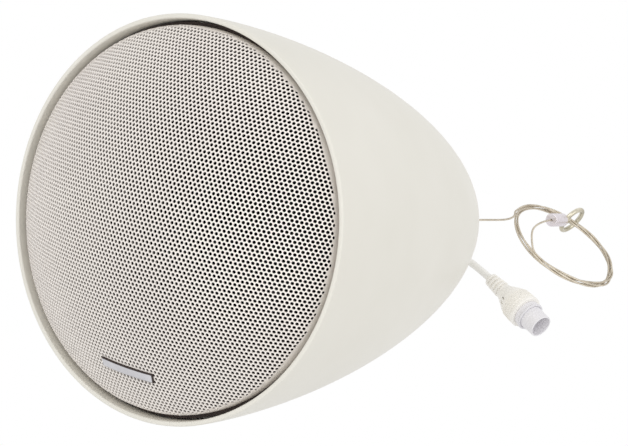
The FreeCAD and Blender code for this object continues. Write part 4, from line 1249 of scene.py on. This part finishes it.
@dataclass
class HookRing:
    """The bright ring with its ball neck, and the gripper that it swivels in."""

    azimuth: float = 42.7
    ring_radius: float = 10.2 * MM
    section: float = 1.8 * MM
    ring_sides: int = 96
    section_sides: int = 28
    ring_sharp: float = 50.0
    ball: float = 2.8 * MM
    ball_foot: float = 0.6 * MM
    ball_flat: float = 0.1 * MM
    ball_angles: tuple[int, ...] = (-58, -38, -18, 2, 22, 42, 62)
    neck_radius: float = 1.5 * MM
    neck_low: tuple[float, float] = (0.9, 0.6 * MM)
    neck_high: tuple[float, float] = (1.2, 0.5 * MM)
    neck_root: float = 2.3 * MM
    neck_sides: int = 32
    gripper_radius: float = 4.9 * MM
    gripper_sides: int = 64
    gripper_sharp: float = 38.0
    foot_round: float = 0.7 * MM
    edge_round: float = 0.25 * MM
    socket: float = 3.2 * MM
    socket_depth: float = 6.4 * MM
    bore: float = 0.9 * MM
    slot_size: Place = (2.6 * MM, 1.8 * MM, 5.0 * MM)
    slot_height: float = 7.9 * MM
    cap_bore: float = 2.1 * MM
    cap_taper: float = 0.6 * MM
    cap_foot_rounds: tuple[float, float] = (0.2 * MM, 0.15 * MM)
    cap_round: float = 0.3 * MM

    def ring(self) -> bpy.types.Object:
        """The ring, neck and ball as one bright piece.

        Returns:
            The ring.
        """
        piece = Workpiece("hook_ring_bright")
        bpy.ops.mesh.primitive_torus_add(
            major_radius=self.ring_radius, minor_radius=self.section,
            major_segments=self.ring_sides, minor_segments=self.section_sides,
            rotation=(math.radians(90), 0.0, math.radians(self.azimuth + 90)),
        )
        piece.take()
        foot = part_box("hook_ring")[0].z
        middle = foot + self.ball
        outline = [(self.ball_foot, foot + self.ball_flat)]
        for angle in map(math.radians, self.ball_angles):
            outline.append((self.ball * math.cos(angle), middle + self.ball * math.sin(angle)))
        low, low_round = self.neck_low
        high, high_round = self.neck_high
        neck = [
            Corner(self.neck_radius, middle + self.ball * low, low_round),
            Corner(self.neck_radius, -self.ring_radius - self.section * high, high_round),
            Corner(self.neck_root, -self.ring_radius),
        ]
        outline += rounded(neck, 2)
        piece.join(Workpiece("neck_part").turn(outline, self.neck_sides, looped=False))
        # The ring's finish paints reflection: dark mottled patches stand in for what the polished steel
        # reflects.
        made = piece.finish(STEEL_WITH_PAINTED_REFLECTIONS, self.ring_sharp)
        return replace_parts(made, "hook_ring")

    def barrel(self, name: str, corners: Sequence[Corner]) -> Workpiece:
        """One of the gripper's turned pieces."""
        return Workpiece(name).turn(rounded(corners, 3), self.gripper_sides, looped=True)

    def gripper(self) -> bpy.types.Object:
        """The gripper's cylinder, with its ball socket and side slot.

        Returns:
            The cylinder.
        """
        low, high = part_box("gripper")
        floor = high.z - self.socket_depth
        corners = [
            Corner(self.bore, low.z),
            Corner(self.gripper_radius, low.z, self.foot_round),
            Corner(self.gripper_radius, high.z, self.edge_round),
            Corner(self.socket, high.z, self.edge_round),
            Corner(self.socket, floor),
            Corner(self.bore, floor),
        ]
        piece = self.barrel("gripper_barrel", corners)
        slot_place = (-self.gripper_radius, 0.0, low.z + self.slot_height)
        piece.subtract(Workpiece("slot_tool").block(self.slot_size, slot_place))
        made = piece.finish(GRIPPER_FINISH, self.gripper_sharp)
        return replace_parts(made, "gripper")

    def cap(self) -> bpy.types.Object:
        """The brass cap that keeps the ball in.

        Returns:
            The cap.
        """
        low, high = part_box("gripper_cap")
        inner_round, outer_round = self.cap_foot_rounds
        corners = [
            Corner(self.cap_bore, low.z, inner_round),
            Corner(self.gripper_radius, low.z, outer_round),
            Corner(self.gripper_radius - self.cap_taper, high.z, self.cap_round),
            Corner(self.cap_bore, high.z, self.cap_round),
        ]
        made = self.barrel("gripper_brass_cap", corners).finish(BRASS_FINISH, self.gripper_sharp)
        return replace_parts(made, "gripper_cap")

    def build(self) -> list[bpy.types.Object]:
        """Makes the three pieces and gives them."""
        return [self.ring(), self.gripper(), self.cap()]


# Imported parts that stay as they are


def dress_packed_parts(frame: dict) -> None:
    """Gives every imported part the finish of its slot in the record.

    Args:
        frame: The loaded frame.
    """
    slots = {part["node"]: part["material_slot"] for part in frame["record"]["subparts"]}
    for node, thing in frame["nodes"].items():
        dress(thing, SLOT_FINISHES[slots[node]])
    LOG.info("dressed %d packed parts", len(frame["nodes"]))


# Studio


@dataclass(frozen=True)
class Lamp:
    """A soft square lamp: its name, place, side and power."""

    name: str
    place: Place
    size: float
    power: float

    def hang(self, target: Place) -> None:
        """Puts the lamp in its place and points it at a target.

        Args:
            target: The place that it lights.
        """
        light = bpy.data.lights.new(self.name, "AREA")
        light.size = self.size
        light.energy = self.power
        thing = bpy.data.objects.new(self.name, light)
        bpy.context.scene.collection.objects.link(thing)
        thing.location = self.place
        thing.rotation_mode = "QUATERNION"
        thing.rotation_quaternion = (Vector(target) - Vector(self.place)).to_track_quat("-Z", "Y")


@dataclass
class Studio:
    """A white studio: a floor a room's height below, soft lamps and the camera."""

    floor_height: float = -3.6
    floor_size: float = 40.0
    floor_grey: float = 0.8
    room_light: float = 0.84
    bell: Place = (0.0, 0.0, -0.40)
    lamps: tuple[Lamp, ...] = (
        Lamp("key_lamp", (0.3, -1.3, -1.9), 1.4, 7.0),
        Lamp("front_lamp", (0.1, 0.5, -2.2), 1.4, 8.0),
        Lamp("side_lamp", (1.9, -0.2, -0.8), 1.6, 8.0),
    )
    camera_place: Place = (0.7085, 0.0, -1.4014)
    camera_look: Place = (-0.5582, 0.0, 0.8297)
    camera_up: Place = (0.0, -1.0, 0.0)
    lens: float = 118.46
    sensor: float = 36.0
    shift: float = -0.0048

    def lit(self, network: Network, room: Socket, kind: str) -> Socket:
        """Shows white to the camera, gloss and glass, and a room's own shader to the rest.

        Args:
            network: The nodes.
            room: The room's shader.
            kind: The white shader's type.

        Returns:
            The mixed shader.
        """
        path = network.node("ShaderNodeLightPath", {}, {})
        names = ("Is Camera Ray", "Is Glossy Ray", "Is Transmission Ray")
        camera, glossy, glass = (Socket(network, path.outputs[name]) for name in names)
        seen = network.mask(camera + glossy + glass, 0.0, 1.0)
        white = network.add(kind, {}, {"Color": (1, 1, 1, 1), "Strength": 1.0})
        return network.add("ShaderNodeMixShader", {}, {0: seen, 1: room, 2: white})

    def floor(self) -> None:
        """A plain pale floor."""
        bpy.ops.mesh.primitive_plane_add(size=self.floor_size, location=(0, 0, self.floor_height))
        floor = bpy.context.active_object
        floor.name = "studio_floor"
        made = bpy.data.materials.new("studio_floor")
        network = Network(made)
        matt = network.add("ShaderNodeBsdfDiffuse", {}, {"Color": (*[self.floor_grey] * 3, 1.0)})
        surface = self.lit(network, matt, "ShaderNodeEmission")
        network.node("ShaderNodeOutputMaterial", {}, {"Surface": surface})
        floor.data.materials.append(made)

    def world(self) -> None:
        """An even pale room that the camera sees as white."""
        world = bpy.data.worlds.new("studio_room")
        bpy.context.scene.world = world
        network = Network(world)
        values = {"Color": (1, 1, 1, 1), "Strength": self.room_light}
        room = network.add("ShaderNodeBackground", {}, values)
        surface = self.lit(network, room, "ShaderNodeBackground")
        network.node("ShaderNodeOutputWorld", {}, {"Surface": surface})

    def camera(self) -> None:
        """The camera below the speaker's mouth, rolled as the photograph is."""
        data = bpy.data.cameras.new("camera")
        data.lens = self.lens
        data.sensor_width = self.sensor
        data.shift_y = self.shift
        thing = bpy.data.objects.new("camera", data)
        bpy.context.scene.collection.objects.link(thing)
        back = -Vector(self.camera_look).normalized()
        up = Vector(self.camera_up)
        right = up.cross(back).normalized()
        turn = Matrix((right, up, back)).transposed().to_4x4()
        thing.matrix_world = Matrix.Translation(Vector(self.camera_place)) @ turn
        bpy.context.scene.camera = thing

    def build(self) -> None:
        """Sets up the whole studio."""
        bpy.context.scene.view_settings.view_transform = "Standard"
        self.floor()
        self.world()
        for lamp in self.lamps:
            lamp.hang(self.bell)
        self.camera()


def main() -> None:
    """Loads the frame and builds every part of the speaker."""
    logging.basicConfig(level=logging.INFO, format="%(name)s: %(message)s")
    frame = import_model()
    dress_packed_parts(frame)
    Studio().build()
    Shell().build()
    Grille().build()
    Badge().build()
    NetworkCable().build()
    hook = HookRing().build()
    HangingWire().build(hook)


if __name__ == "__main__":
    main()
